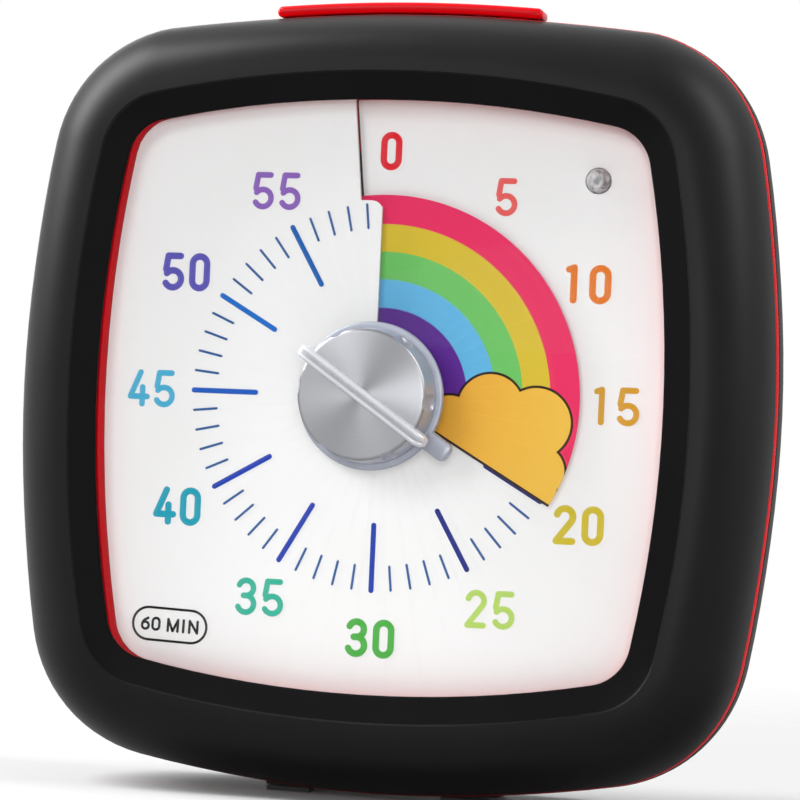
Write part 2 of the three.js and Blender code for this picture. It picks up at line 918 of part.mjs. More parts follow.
const secondBack = secondLevel - gearThickness;
function reductionGear() {
  const bore = axleRadius + runGap;
  const pinion = gear(
    reductionPinionTeeth,
    secondLevel - gearThickness / 2,
    wheelLevel,
    0,
    reductionAngle + PI + halfTooth(reductionPinionTeeth),
  );
  const wheel = gear(reductionWheelTeeth, secondBack, secondLevel, 0, rotorAngle);
  return cut(join(pinion, wheel), rod(bore, secondBack - overrun, wheelLevel + overrun, 0, 0, smallSteps));
}

piece("reduction_gear", reductionGear().translate(reductionX, reductionY, 0), whitePlastic);
piece(
  "reduction_axle",
  rod(axleRadius, coverFloor + seatGap, movementBack - seatGap, reductionX, reductionY, smallSteps),
  steel,
);

const magnetBack = magnetFront - magnetLength;
function motorRotor() {
  const pinion = gear(
    rotorTeeth,
    secondBack,
    secondLevel,
    0,
    rotorAngle + PI + halfTooth(rotorTeeth),
  );
  return join(
    pinion,
    rod(magnetRadius, magnetBack, magnetFront),
    rod(axleRadius, coverFloor + seatGap, movementBack - seatGap, 0, 0, smallSteps),
  );
}

piece("motor_rotor", motorRotor().translate(rotorX, rotorY, 0), steel);

// Stator with its pole hole round the magnet, and the coil on its arm
const statorFront = (magnetFront + magnetBack + statorThickness) / 2;
const statorBack = statorFront - statorThickness;
function stator() {
  const half = statorWidth / 2;
  const armHalf = half / 2;
  const armEnd = rotorX + statorReach;
  return cut(
    join(
      roundedBlock(half, half, half / 2, statorBack, statorFront, rotorX, rotorY),
      block(rotorX, armEnd, rotorY - armHalf, rotorY + armHalf, statorBack, statorFront),
      block(armEnd - armHalf, armEnd, rotorY - statorWidth, rotorY, statorBack, statorFront),
    ),
    rod(magnetRadius + seatGap, statorBack - overrun, statorFront + overrun, rotorX, rotorY),
  );
}

piece("motor_stator", stator(), steel);

function motorCoil() {
  const armHalf = statorWidth / 4 + seatGap;
  const start = rotorX + statorWidth / 2 + seatGap;
  const middle = (statorFront + statorBack) / 2;
  const half = armHalf + coilThickness / 2;
  const deep = statorThickness / 2 + seatGap;
  return cut(
    block(
      start,
      start + coilLength,
      rotorY - half,
      rotorY + half,
      middle - deep - coilThickness,
      middle + deep + coilThickness,
    ),
    block(
      start - overrun,
      start + coilLength + overrun,
      rotorY - armHalf,
      rotorY + armHalf,
      middle - deep,
      middle + deep,
    ),
  );
}

piece("motor_coil", motorCoil(), copper);

// Movement base plate and cover
const movementHalf = movementSize / 2;
const earAt = movementHalf + movementEar / 2 - movementPostRadius / 2;
function movementBase() {
  const half = movementHalf + movementEar;
  const holes = quadrants.map(([sx, sy]) =>
    rod(
      movementScrewRadius + seatGap,
      movementBack - overrun,
      movementFront + overrun,
      sx * earAt,
      sy * earAt,
      smallSteps,
    ),
  );
  return cut(
    roundedBlock(half, half, movementCorner, movementBack, movementFront),
    rod(bushingOuter + seatGap, movementBack - overrun, movementFront + overrun),
    ...holes,
  );
}

piece("movement_base", movementBase(), whitePlastic);

function movementCover() {
  const half = movementHalf - movementPostRadius;
  const back = coverFloor - movementWall;
  const front = movementBack - seatGap;
  return cut(
    roundedBlock(half, half, movementCorner, back, front),
    roundedBlock(
      half - movementWall,
      half - movementWall,
      movementCorner - movementWall,
      coverFloor,
      front + overrun,
    ),
  );
}

piece("movement_cover", movementCover(), whitePlastic);

quadrants.forEach(([sx, sy], i) => {
  const head = 1.5 * movementScrewRadius;
  const geometry = screw(
    movementScrewRadius * 2,
    head,
    movementScrewRadius,
    0,
    movementPlate + caseScrewBite,
    0,
    0,
  )
    .rotateX(PI)
    .translate(sx * earAt, sy * earAt, movementFront + seatGap);
  piece(`movement_screw_${i + 1}`, geometry, steel);
});

quadrants.forEach(([sx, sy], i) => {
  const geometry = screw(
    dialScrewRadius * 2,
    dialScrewRadius * 1.4,
    dialScrewRadius,
    shelfBack - seatGap,
    -dialHigh - dialThickness - seatGap,
    sx * dialBossX,
    sy * dialBossY,
  );
  piece(`dial_screw_${i + 1}`, geometry, steel);
});

// Rear shell
const bayHalf = bayLength / 2;
const bayTop = bayCentreY + bayHeight / 2;
const bayBottom = bayCentreY - bayHeight / 2;
const doorTop = bayTop + doorRebate;
const doorBottom = bayBottom + doorCatch;
const doorHalf = bayHalf + doorRebate;
const doorInner = rearFace + doorThickness;
const bayFloorZ = doorInner + seatGap + cellDiameter + bayClearance;
const boardBack = rearInner + boardStandoff;
const boardFront = boardBack + boardThickness;
const handleZ = seam - handleSetBack;

function rearProfile(inset) {
  const back = Array.from({ length: rearSteps + 1 }, (_, i) => {
    const angle = ((i / rearSteps) * PI) / 2;
    return [
      widestHalf - rearTaper * (1 - cos(angle)) - inset,
      rearCorner + (widestCorner - rearCorner) * cos(angle) - inset,
      widest - (widest - rearFace - inset) * sin(angle),
    ];
  });
  return [sideAt(rearRim, inset), ...back];
}

// Flat underside for a foot, moulded on the shell's lower edge
const footTop = -halfHeight - floorDrop + footThickness;
const footRows = [
  ["front", seam - frontFootSet, crownAt(footX + footWidth / 2) - wall / 2],
  ["rear", seam - rearFootSet, -footTop - rearTaper],
];

function footSeat(side, z, top) {
  const x = side * footX;
  return block(
    x - footWidth / 2,
    x + footWidth / 2,
    footTop + seatGap,
    -top,
    z - footDepth / 2,
    z + footDepth / 2,
  );
}

function rearShell() {
  const outside = rearProfile(0);
  const inside = rearProfile(wall);
  const body = outlineLoft([...[...outside].reverse(), ...inside], false);
  const envelope = outlineLoft([...rearProfile(wall / 4)].reverse(), false);
  const inEnvelope = (shape) => common(shape, envelope);

  const casePosts = quadrants.map(([sx, sy]) =>
    inEnvelope(
      rod(casePostRadius, rearFace, webBack - seatGap, sx * casePost, sy * casePostY, smallSteps),
    ),
  );
  const movementPosts = quadrants.map(([sx, sy]) =>
    rod(
      movementPostRadius,
      rearInner - wall / 2,
      movementBack - seatGap,
      sx * earAt,
      sy * earAt,
      smallSteps,
    ),
  );
  const bay = block(
    -bayHalf - bayWall,
    bayHalf + bayWall,
    bayBottom - bayWall,
    bayTop + bayWall,
    rearInner - wall / 2,
    bayFloorZ + bayFloor,
  );
  const boardPosts = quadrants.flatMap(([sx, sy]) => {
    const x = sx * (boardWidth / 2 - boardPinInset);
    const y = boardCentreY + sy * (boardHeight / 2 - boardPinInset);
    return [
      rod(boardPostRadius, rearInner - wall / 2, boardBack - seatGap, x, y, smallSteps),
      rod(boardPinRadius, rearInner, boardFront + seatGap, x, y, smallSteps),
    ];
  });
  const guides = footSides.map((side) =>
    inEnvelope(
      block(
        side * legX - legWidth / 2 - guideWall,
        side * legX + legWidth / 2 + guideWall,
        crownAt(legX) - guideLength,
        halfHeight,
        handleZ - legDepth / 2 - guideWall,
        webBack - seatGap,
      ),
    ),
  );
  const seats = footRows.flatMap(([, z, top]) => footSides.map((side) => footSeat(side, z, top)));

  const heads = quadrants.map(([sx, sy]) =>
    rod(
      caseHeadRadius + seatGap * 2,
      rearFace - overrun,
      webBack - caseHeadDepth,
      sx * casePost,
      sy * casePostY,
      smallSteps,
    ),
  );
  const shanks = quadrants.map(([sx, sy]) =>
    rod(caseScrewRadius + seatGap, rearFace, webBack, sx * casePost, sy * casePostY, smallSteps),
  );
  const movementPilots = quadrants.map(([sx, sy]) =>
    rod(
      movementScrewRadius + seatGap,
      movementBack - caseScrewBite - overrun,
      movementBack,
      sx * earAt,
      sy * earAt,
      smallSteps,
    ),
  );
  const rebate = roundedBlock(
    doorHalf + seatGap,
    (doorTop - doorBottom) / 2 + seatGap,
    doorRebate,
    rearFace - overrun,
    doorInner + seatGap,
    0,
    (doorTop + doorBottom) / 2,
  );
  const cells = block(-bayHalf, bayHalf, bayBottom, bayTop, doorInner + seatGap / 2, bayFloorZ);
  const legSlots = footSides.map((side) =>
    block(
      side * legX - legWidth / 2 - seatGap,
      side * legX + legWidth / 2 + seatGap,
      crownAt(legX) - guideLength - overrun,
      halfHeight + overrun,
      handleZ - legDepth / 2 - seatGap,
      handleZ + legDepth / 2 + seatGap,
    ),
  );
  const soundSlots = Array.from({ length: soundSlotCount }, (_, i) => {
    const x = (i - (soundSlotCount - 1) / 2) * soundSlotPitch;
    const reach = sqrt(buzzerRadius ** 2 - x ** 2) - soundSlotWidth / 2;
    return roundedBlock(
      soundSlotWidth / 2,
      reach,
      soundSlotWidth / 2.2,
      rearFace - overrun,
      rearInner + overrun,
      x,
      boardCentreY,
    );
  });
  const sliderSlot = (x, travel) => [
    roundedBlock(
      (sliderCapLength + travel) / 2 + seatGap * 2,
      sliderCapWidth / 2 + seatGap * 2,
      sliderCapWidth / 4,
      rearFace - overrun,
      rearFace + wall / 2,
      x,
      boardCentreY,
    ),
    block(
      x - (sliderStem + travel) / 2 - seatGap,
      x + (sliderStem + travel) / 2 + seatGap,
      boardCentreY - sliderStem / 2 - seatGap,
      boardCentreY + sliderStem / 2 + seatGap,
      rearFace,
      rearInner + overrun,
    ),
  ];
  return cut(
    join(
      body,
      ...casePosts,
      ...movementPosts,
      bay,
      ...boardPosts,
      ...guides,
      ...seats,
    ),
    ...heads,
    ...shanks,
    ...movementPilots,
    rebate,
    cells,
    ...legSlots,
    ...soundSlots,
    ...sliderSlot(switchX, volumeTravel),
    ...sliderSlot(-switchX, alertTravel),
  );
}

piece("rear_shell", rearShell(), blackPlastic);

quadrants.forEach(([sx, sy], i) => {
  const geometry = crossScrew(
    caseHeadRadius,
    caseHeadHeight,
    caseScrewRadius,
    webBack - caseHeadDepth - seatGap,
    seam + caseScrewBite - seatGap,
    sx * casePost,
    sy * casePostY,
  );
  piece(`case_screw_${i + 1}`, geometry, steel);
});

// Battery door: two tabs hook under the shell's lip, so that it tilts out about its lower edge
function batteryDoor() {
  const panel = roundedBlock(
    doorHalf,
    (doorTop - doorBottom) / 2,
    doorRebate,
    rearFace,
    doorInner,
    0,
    (doorTop + doorBottom) / 2,
  );
  const tabTop = doorInner + seatGap + doorTabThickness;
  const tabLow = doorBottom - doorTabReach;
  const tabHigh = doorBottom + doorTabReach;
  const tabs = footSides.flatMap((side) => {
    const x0 = (side * doorTabSpacing) / 2 - doorTabWidth / 2;
    const x1 = x0 + doorTabWidth;
    return [
      block(x0, x1, tabLow, tabHigh, doorInner + seatGap, tabTop),
      block(x0, x1, doorBottom + seatGap, tabHigh, doorInner - wall / 4, tabTop),
    ];
  });
  const notchHalf = doorTabWidth;
  const ridges = [1, 2, 3].map((i) => {
    const y = doorTop - doorTabReach - i * soundSlotWidth;
    return block(
      -notchHalf,
      notchHalf,
      y - soundSlotWidth / 4,
      y + soundSlotWidth / 4,
      rearFace - overrun,
      rearFace + doorThickness / 4,
    );
  });
  return cut(join(panel, ...tabs), ...ridges);
}

piece("battery_door", batteryDoor(), blackPlastic);

// Two cells head to tail, and their contacts
const cellRadius = cellDiameter / 2;
const cellZ = doorInner + seatGap * 2 + doorTabThickness / 2 + cellRadius;
const cellReach = cellLength / 2;
const cellRows = [
  ["upper", 1],
  ["lower", -1],
];
for (const [name, side] of cellRows) {
  const profile = [
    [0, -cellReach],
    [cellRadius - nippleHeight / 2, -cellReach],
    [cellRadius, nippleHeight / 2 - cellReach],
    [cellRadius, cellReach - nippleHeight / 2],
    [cellRadius - nippleHeight / 2, cellReach],
    [nippleRadius, cellReach],
    [nippleRadius, cellReach + nippleHeight],
    [0, cellReach + nippleHeight],
  ];
  const geometry = turned(profile)
    .rotateY((side * PI) / 2)
    .translate(0, bayCentreY + side * (cellRadius + seatGap), cellZ);
  piece(`battery_${name}`, geometry, cellJacket);
}

// A contact leaf on a bay wall. Its button reaches a cell's cap, or its spring a cell's base.
function contactLeaf(side, rows) {
  const face = side * (bayHalf - seatGap);
  const inner = face - side * contactThickness;
  const top = Math.max(...rows.map((row) => row.side));
  const bottom = Math.min(...rows.map((row) => row.side));
  const rowY = (rowSide) => bayCentreY + rowSide * (cellRadius + seatGap);
  const leaf = block(
    face,
    inner,
    rowY(bottom) - contactWidth / 2,
    rowY(top) + contactWidth / 2,
    cellZ - contactWidth / 2,
    cellZ + contactWidth / 2,
  );
  const buttons = rows.map((row) => {
    const end = side * (cellReach + (row.cap ? nippleHeight : 0) + seatGap);
    const radius = row.cap ? nippleRadius : contactSpringRadius;
    const length = abs(face - end);
    return new THREE.CylinderGeometry(radius, radius * 0.7, length, smallSteps)
      .rotateZ((side * PI) / 2)
      .translate((face + end) / 2, rowY(row.side), cellZ);
  });
  return join(leaf, ...buttons);
}

piece("contact_positive", contactLeaf(1, [{ side: 1, cap: true }]), steel);
piece("contact_negative", contactLeaf(1, [{ side: -1, cap: false }]), steel);
piece(
  "contact_bridge",
  contactLeaf(-1, [
    { side: 1, cap: false },
    { side: -1, cap: true },
  ]),
  steel,
);

// Alarm circuit board, buzzer and two slide switches
function circuitBoard() {
  const holes = quadrants.map(([sx, sy]) =>
    rod(
      boardPinRadius + seatGap,
      boardBack - overrun,
      boardFront + overrun,
      sx * (boardWidth / 2 - boardPinInset),
      boardCentreY + sy * (boardHeight / 2 - boardPinInset),
      smallSteps,
    ),
  );
  return cut(
    roundedBlock(
      boardWidth / 2,
      boardHeight / 2,
      boardPinInset / 2,
      boardBack,
      boardFront,
      0,
      boardCentreY,
    ),
    ...holes,
  );
}

piece("circuit_board", circuitBoard(), greenBoard);
piece(
  "buzzer",
  rod(buzzerRadius, rearInner + seatGap, boardBack - seatGap, 0, boardCentreY),
  brass,
);

const switchBack = rearInner + seatGap;
const switchFront = boardBack - seatGap;
function slideSwitch(x, travel) {
  const body = block(
    x - switchLength / 2,
    x + switchLength / 2,
    boardCentreY - switchWidth / 2,
    boardCentreY + switchWidth / 2,
    switchBack,
    switchFront,
  );
  const track = block(
    x - (sliderStem + travel) / 2 - seatGap,
    x + (sliderStem + travel) / 2 + seatGap,
    boardCentreY - sliderStem / 2 - seatGap,
    boardCentreY + sliderStem / 2 + seatGap,
    switchBack - overrun,
    (switchBack + switchFront) / 2 + seatGap,
  );
  return cut(body, track);
}

function slider(x) {
  const stem = block(
    x - sliderStem / 2,
    x + sliderStem / 2,
    boardCentreY - sliderStem / 2,
    boardCentreY + sliderStem / 2,
    rearFace,
    (switchBack + switchFront) / 2,
  );
  const cap = block(
    x - sliderCapLength / 2,
    x + sliderCapLength / 2,
    boardCentreY - sliderCapWidth / 2,
    boardCentreY + sliderCapWidth / 2,
    rearFace - sliderCapHeight / 2,
    rearFace + wall / 2 - seatGap,
  );
  const grooves = [-1, 0, 1].map((i) => {
    const middle = x + (i * sliderCapLength) / 4;
    return block(
      middle - sliderCapLength / 16,
      middle + sliderCapLength / 16,
      boardCentreY - sliderCapWidth,
      boardCentreY + sliderCapWidth,
      rearFace - sliderCapHeight,
      rearFace - sliderCapHeight / 4,
    );
  });
  return cut(join(stem, cap), ...grooves);
}

piece("volume_switch", slideSwitch(switchX, volumeTravel), steel);
piece("volume_slider", slider(switchX), whitePlastic);
piece("alert_switch", slideSwitch(-switchX, alertTravel), steel);
piece("alert_slider", slider(-switchX - alertTravel / 2), whitePlastic);

// Alarm lamp: a clear dome through the dial, its flange held behind it
function alarmLamp() {
  const clockwise = 90 - THREE.MathUtils.radToDeg(Math.atan2(lampY, lampX));
  const back = spiralAt(clockwise) - dialThickness / 2 - dialRise / fullTurn - seatGap;
  const flangeRadius = lampRadius + 2 * lampFlange;
  const front = spiralAt(clockwise) + lampProud;
  return turned([
    [0, back - lampBody],
    [lampRadius, back - lampBody],
    [lampRadius, back - lampFlange],
    [flangeRadius, back - lampFlange],
    [flangeRadius, back],
    [lampRadius, back],
    [lampRadius, front - lampRadius],
    [lampRadius * cos(PI / 6), front - lampRadius * (1 - sin(PI / 6))],
    [lampRadius * cos(PI / 3), front - lampRadius * (1 - sin(PI / 3))],
    [0, front],
  ]).translate(lampX, lampY, 0);
}

piece("alarm_lamp", alarmLamp(), clearPlastic);

// Carry handle: a curved bar on two legs that draw out of the top
function carryHandle() {
  const steps = 12;
  const half = barLength / 2;
  const under = (x) => crownAt(x) + seatGap;
  const lower = Array.from({ length: steps + 1 }, (_, i) => {
    const x = -half + (barLength * i) / steps;
    return new THREE.Vector2(x, under(x));
  });
  const upper = Array.from({ length: steps + 1 }, (_, i) => {
    const x = half - barCorner - ((barLength - 2 * barCorner) * i) / steps;
    return new THREE.Vector2(x, under(x) + barHeight);
  });
  const endY = under(half) + barHeight - barCorner;
  const bar = new THREE.ExtrudeGeometry(
    new THREE.Shape([
      ...lower,
      new THREE.Vector2(half, endY),
      new THREE.Vector2(half - barCorner * (1 - cos(PI / 4)), endY + barCorner * sin(PI / 4)),
      ...upper,
      new THREE.Vector2(-half + barCorner * (1 - cos(PI / 4)), endY + barCorner * sin(PI / 4)),
      new THREE.Vector2(-half, endY),
    ]),
    {
      depth: barDepth - 2 * barBevel,
      bevelSize: barBevel,
      bevelThickness: barBevel,
      bevelOffset: -barBevel,
      bevelSegments: 2,
    },
  ).translate(0, 0, handleZ - barDepth / 2 + barBevel);
  const guideEnd = crownAt(legX) - guideLength;
  const hookTop = guideEnd - seatGap - handleTravel;
  const legs = footSides.flatMap((side) => {
    const x = side * legX;
    const front = handleZ + legDepth / 2;
    const back = handleZ - legDepth / 2;
    return [
      block(
        x - legWidth / 2,
        x + legWidth / 2,
        hookTop - hookHeight,
        under(legX) + barHeight / 2,
        back,
        front,
      ),
      block(
        x - legWidth / 2 - hookReach,
        x + legWidth / 2 + hookReach,
        hookTop - hookHeight,
        hookTop,
        back,
        front,
      ),
    ];
  });
  return join(bar, ...legs);
}

piece("carry_handle", carryHandle(), redPlastic);

// Rubber feet
for (const [row, z] of footRows)
  footSides.forEach((side, i) => {
    const x = side * footX;
    piece(
      `foot_${row}_${i + 1}`,
      block(
        x - footWidth / 2,
        x + footWidth / 2,
        footTop - footThickness,
        footTop,
        z - footDepth / 2,
        z + footDepth / 2,
      ),
      darkRubber,
    );
  });

// Stand it upright: the dial faces -y, the feet rest on z = 0 and the depth is centred
const frontMost = knobFace + finHeight;
const rearMost = rearFace - sliderCapHeight / 2;
root.rotation.x = PI / 2;
root.position.set(0, (frontMost + rearMost) / 2, halfHeight + floorDrop);

const timer = new THREE.Group();
timer.add(root);

export default timer;
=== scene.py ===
# %% [markdown]
# # A visual countdown timer
# The timer is a rounded black housing round a clear window. Behind the window a white dial is
# split at the top and climbs like one turn of a spiral stair. A coloured disc of the same climb
# comes out through the split when the knob is turned, and shrinks as the time runs out.
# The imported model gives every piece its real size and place, and this file gives each one its
# finish, or a finer form where a moulded curve, a bevel or a print shows.

import json
from math import acos, atan2, cos, degrees, hypot, pi, radians, sin, sqrt

import bmesh
import bpy
from mathutils import Matrix, Vector


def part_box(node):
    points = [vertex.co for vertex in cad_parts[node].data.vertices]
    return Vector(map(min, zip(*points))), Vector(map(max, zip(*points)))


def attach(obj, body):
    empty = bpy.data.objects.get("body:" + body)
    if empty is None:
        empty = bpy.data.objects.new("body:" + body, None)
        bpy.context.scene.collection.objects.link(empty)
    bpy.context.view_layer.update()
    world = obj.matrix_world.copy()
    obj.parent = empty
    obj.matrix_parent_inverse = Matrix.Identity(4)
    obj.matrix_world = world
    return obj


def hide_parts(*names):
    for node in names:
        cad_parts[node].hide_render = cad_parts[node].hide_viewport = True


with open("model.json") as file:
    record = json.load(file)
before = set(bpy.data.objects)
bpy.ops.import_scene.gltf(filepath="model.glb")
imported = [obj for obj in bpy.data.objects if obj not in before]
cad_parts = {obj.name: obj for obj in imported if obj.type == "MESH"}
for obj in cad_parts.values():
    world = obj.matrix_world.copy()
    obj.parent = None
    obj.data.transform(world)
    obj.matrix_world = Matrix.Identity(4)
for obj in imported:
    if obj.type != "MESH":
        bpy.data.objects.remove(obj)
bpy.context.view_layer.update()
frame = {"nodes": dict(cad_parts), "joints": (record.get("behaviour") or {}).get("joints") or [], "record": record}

# %% [markdown]
# ## Where things are
# All lengths are written in millimetres and turned to metres once. The dial faces -Y. Its
# middle is on the knob's axis, and every depth is counted towards the viewer from the plane
# halfway up the dial's climb, which lies a known distance behind the back of the lens.

# %% Places taken from the frame
MM = 0.001
LENS_BACK = 4.9
LENS_FRONT = 6.1
DIAL_CLIMB = 3.0
DIAL_THICKNESS = 1.0
DISC_RADIUS = 49.0
SPLIT_LEAN = 5.0
REST_ANGLE = 120.0

knob_axis = next(joint for joint in frame["joints"] if joint["name"] == "knob_turn")["pos_m"]
middle_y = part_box("lens")[1].y + LENS_BACK * MM
middle_z = knob_axis[2]


def place(x, y, depth):
    """A point x to the right, y up and depth towards the viewer of the dial's middle"""
    return Vector((x * MM, middle_y - depth * MM, middle_z + y * MM))


def dial_top(x, y):
    """Height of the dial's face: it climbs clockwise from the split, which leans left at the top"""
    lean = SPLIT_LEAN if hypot(x, y) > DISC_RADIUS else 0
    clockwise = (90 - degrees(atan2(y, x)) + lean) % 360 - lean
    return DIAL_CLIMB * (clockwise / 360 - 0.5) + DIAL_THICKNESS / 2


print("dial middle at", place(0, 0, 0))

# %% [markdown]
# ## The camera
# A long lens flattens the timer a little, as in a product photograph. The view is turned to
# the left by a few degrees, so that the right side of the housing and its red line show. The
# three angles and the offset were found by lining up the dial's ticks and the window's edge.

# %% Camera
CAMERA_YAW = -13.69
CAMERA_PITCH = -1.31
CAMERA_ROLL = 2.57
CAMERA_OFFSET = Vector((-4.80, 723.9, 0.65))
FOCAL_LENGTH = 135

turn = (
    Matrix.Rotation(radians(CAMERA_ROLL), 3, "Y")
    @ Matrix.Rotation(radians(CAMERA_PITCH), 3, "X")
    @ Matrix.Rotation(radians(CAMERA_YAW), 3, "Z")
)
eye = turn.transposed() @ -CAMERA_OFFSET
bpy.ops.object.camera_add(location=place(eye.x, eye.z, -eye.y))
camera = bpy.context.object
camera.data.lens = FOCAL_LENGTH
camera.data.sensor_width = 36
camera.data.clip_end = 20
right, forward, up = turn[0], turn[1], turn[2]
camera.rotation_euler = Matrix((right, up, -forward)).transposed().to_euler()
bpy.context.scene.camera = camera
bpy.context.scene.view_settings.view_transform = "Standard"
print("camera at", camera.location)

# %% [markdown]
# ## Tools of the bench
# Most pieces go through the same few steps: select one object, apply a modifier, clean the
# mesh, then put the finished piece on the body that carries it.

# %% Small helpers
def only(obj):
    """Select one object and make it the active one"""
    bpy.ops.object.select_all(action="DESELECT")
    obj.select_set(True)
    bpy.context.view_layer.objects.active = obj
    return obj


def modify(obj, kind, **settings):
    """Add a modifier and apply it"""
    only(obj)
    modifier = obj.modifiers.new(kind, kind)
    for key, value in settings.items():
        setattr(modifier, key, value)
    bpy.ops.object.modifier_apply(modifier=modifier.name)
    return obj


def tidy_mesh(obj, smooth_angle=30, merge=0.001, outward=True):
    """Merge doubles, point the faces outwards and shade smooth up to an angle"""
    only(obj)
    bpy.ops.object.mode_set(mode="EDIT")
    bpy.ops.mesh.select_all(action="SELECT")
    bpy.ops.mesh.remove_doubles(threshold=merge * MM)
    if outward:
        bpy.ops.mesh.normals_make_consistent(inside=False)
    bpy.ops.object.mode_set(mode="OBJECT")
    bpy.ops.object.shade_smooth_by_angle(angle=radians(smooth_angle))
    return obj


def joined(*objects):
    """Several objects made one"""
    only(objects[0])
    for obj in objects:
        obj.select_set(True)
    bpy.ops.object.join()
    return objects[0]


def box_piece(low, high):
    """A cube stretched between two corners given in the dial's own frame"""
    a, b = place(*low), place(*high)
    bpy.ops.object.select_all(action="DESELECT")
    bpy.ops.mesh.primitive_cube_add(size=1, location=(a + b) / 2)
    obj = bpy.context.object
    obj.scale = [abs(q - p) for p, q in zip(a, b)]
    bpy.ops.object.transform_apply(location=True, rotation=True, scale=True)
    return obj


def copy_of(node):
    """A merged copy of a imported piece, to shade and bevel without touching the original"""
    obj = frame["nodes"][node].copy()
    obj.data = obj.data.copy()
    obj.parent = None
    for key in [k for k in obj.keys() if k.startswith("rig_")]:
        del obj[key]
    bpy.context.scene.collection.objects.link(obj)
    return tidy_mesh(obj, outward=False)


def refined(obj, moved, cuts):
    """Cut a faceted skin finer and move its points onto the true curve.

    moved(x, y, depth) gives the point on the curve, or None for a point off the skin.
    """

    def target(co):
        return moved(co.x / MM, (co.z - middle_z) / MM, (middle_y - co.y) / MM)

    only(obj)
    bpy.ops.object.mode_set(mode="EDIT")
    bpy.ops.mesh.select_all(action="DESELECT")
    mesh = bmesh.from_edit_mesh(obj.data)
    for face in mesh.faces:
        face.select = all(target(vertex.co) for vertex in face.verts)
    bmesh.update_edit_mesh(obj.data)
    bpy.ops.mesh.subdivide(number_cuts=cuts)
    bpy.ops.object.mode_set(mode="OBJECT")
    for vertex in obj.data.vertices:
        point = target(vertex.co)
        if point:
            vertex.co = place(*point)
    return tidy_mesh(obj, outward=False)


def finished(obj, name, body, slot, *materials, replaces=()):
    """Name a piece, give it its finish and put it on its body"""
    only(obj)
    bpy.ops.object.transform_apply(location=True, rotation=True, scale=True)
    obj.name = obj.data.name = name
    if materials:
        kept = [polygon.material_index for polygon in obj.data.polygons]
        obj.data.materials.clear()
        for material in materials:
            obj.data.materials.append(material)
        for polygon, index in zip(obj.data.polygons, kept):
            polygon.material_index = min(index, len(materials) - 1)
    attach(obj, body)
    if replaces:
        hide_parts(*replaces)
    print(name, len(obj.data.polygons), "faces")
    return obj


# %% [markdown]
# ## Colour and nodes
# Hex colours are written as they look on a screen, and Blender counts in linear light, so one
# function turns them. Another adds a node, sets what it is told and links what it is given.

# %% Colour and node helpers
def linear(hex_color):
    """An sRGB hex colour as linear red, green, blue and alpha"""
    parts = [int(hex_color[i : i + 2], 16) / 255 for i in (1, 3, 5)]
    return [c / 12.92 if c <= 0.04045 else ((c + 0.055) / 1.055) ** 2.4 for c in parts] + [1]


def add(tree, kind, inputs=None, **settings):
    """Add a node with its settings; each input is a value or the output that feeds it"""
    made = tree.nodes.new(kind)
    for key, value in settings.items():
        setattr(made, key, value)
    for key, value in (inputs or {}).items():
        if isinstance(value, bpy.types.NodeSocket):
            tree.links.new(value, made.inputs[key])
        else:
            made.inputs[key].default_value = value
    return made


def new_material(name, **sockets):
    """A material with a Principled shader, its node tree and Object coordinates"""
    material = bpy.data.materials.new(name)
    material.use_nodes = True
    tree = material.node_tree
    shader = tree.nodes["Principled BSDF"]
    for key, value in sockets.items():
        shader.inputs[key.replace("_", " ")].default_value = value
    where = add(tree, "ShaderNodeTexCoord").outputs["Object"]
    return material, tree, shader, where


def ramp(tree, factor, stops, interpolation="LINEAR"):
    """A colour ramp from (place, hex colour) stops"""
    made = add(tree, "ShaderNodeValToRGB", {"Fac": factor})
    made.color_ramp.interpolation = interpolation
    elements = made.color_ramp.elements
    while len(elements) > 1:
        elements.remove(elements[-1])
    elements[0].position, elements[0].color = stops[0][0], linear(stops[0][1])
    for position, color in stops[1:]:
        elements.new(position).color = linear(color)
    return made.outputs["Color"]


def grain(tree, shader, where, size, strength, depth, detail=2):
    """Surface grain of one size in millimetres, as bump"""
    noise = add(
        tree,
        "ShaderNodeTexNoise",
        {"Vector": where, "Scale": 1 / (size * MM), "Detail": detail},
    )
    bump = add(
        tree,
        "ShaderNodeBump",
        {"Height": noise.outputs["Fac"], "Strength": strength, "Distance": depth * MM},
    )
    tree.links.new(bump.outputs["Normal"], shader.inputs["Normal"])
    return noise


def mottled(tree, shader, where, colors, size, roughness):
    """Slow drift of colour and roughness over a moulded surface"""
    noise = add(
        tree, "ShaderNodeTexNoise", {"Vector": where, "Scale": 1 / (size * MM), "Detail": 3}
    )
    color = ramp(tree, noise.outputs["Fac"], [(0.3, colors[0]), (0.7, colors[1])])
    tree.links.new(color, shader.inputs["Base Color"])
    gloss = add(
        tree,
        "ShaderNodeMapRange",
        {"Value": noise.outputs["Fac"], "To Min": roughness[0], "To Max": roughness[1]},
    )
    tree.links.new(gloss.outputs["Result"], shader.inputs["Roughness"])


# %% [markdown]
# ## Plastics of the housing
# The housing is ABS, moulded in a spark-eroded tool. The real grain is about 0.1 mm, too fine
# for this distance, so it is drawn at 0.45 mm: it gives the eye a satin bulge with soft, slightly
# broken highlights. The band round the window comes from a coarser, matt area of the same tool.

# %% Black and red ABS
def moulded_abs(name, colors, roughness, grain_size, grain_strength, gloss=0.5):
    material, tree, shader, where = new_material(name, IOR=1.53, Specular_IOR_Level=gloss)
    mottled(tree, shader, where, colors, 18, roughness)
    grain(tree, shader, where, grain_size, grain_strength, 0.05)
    return material


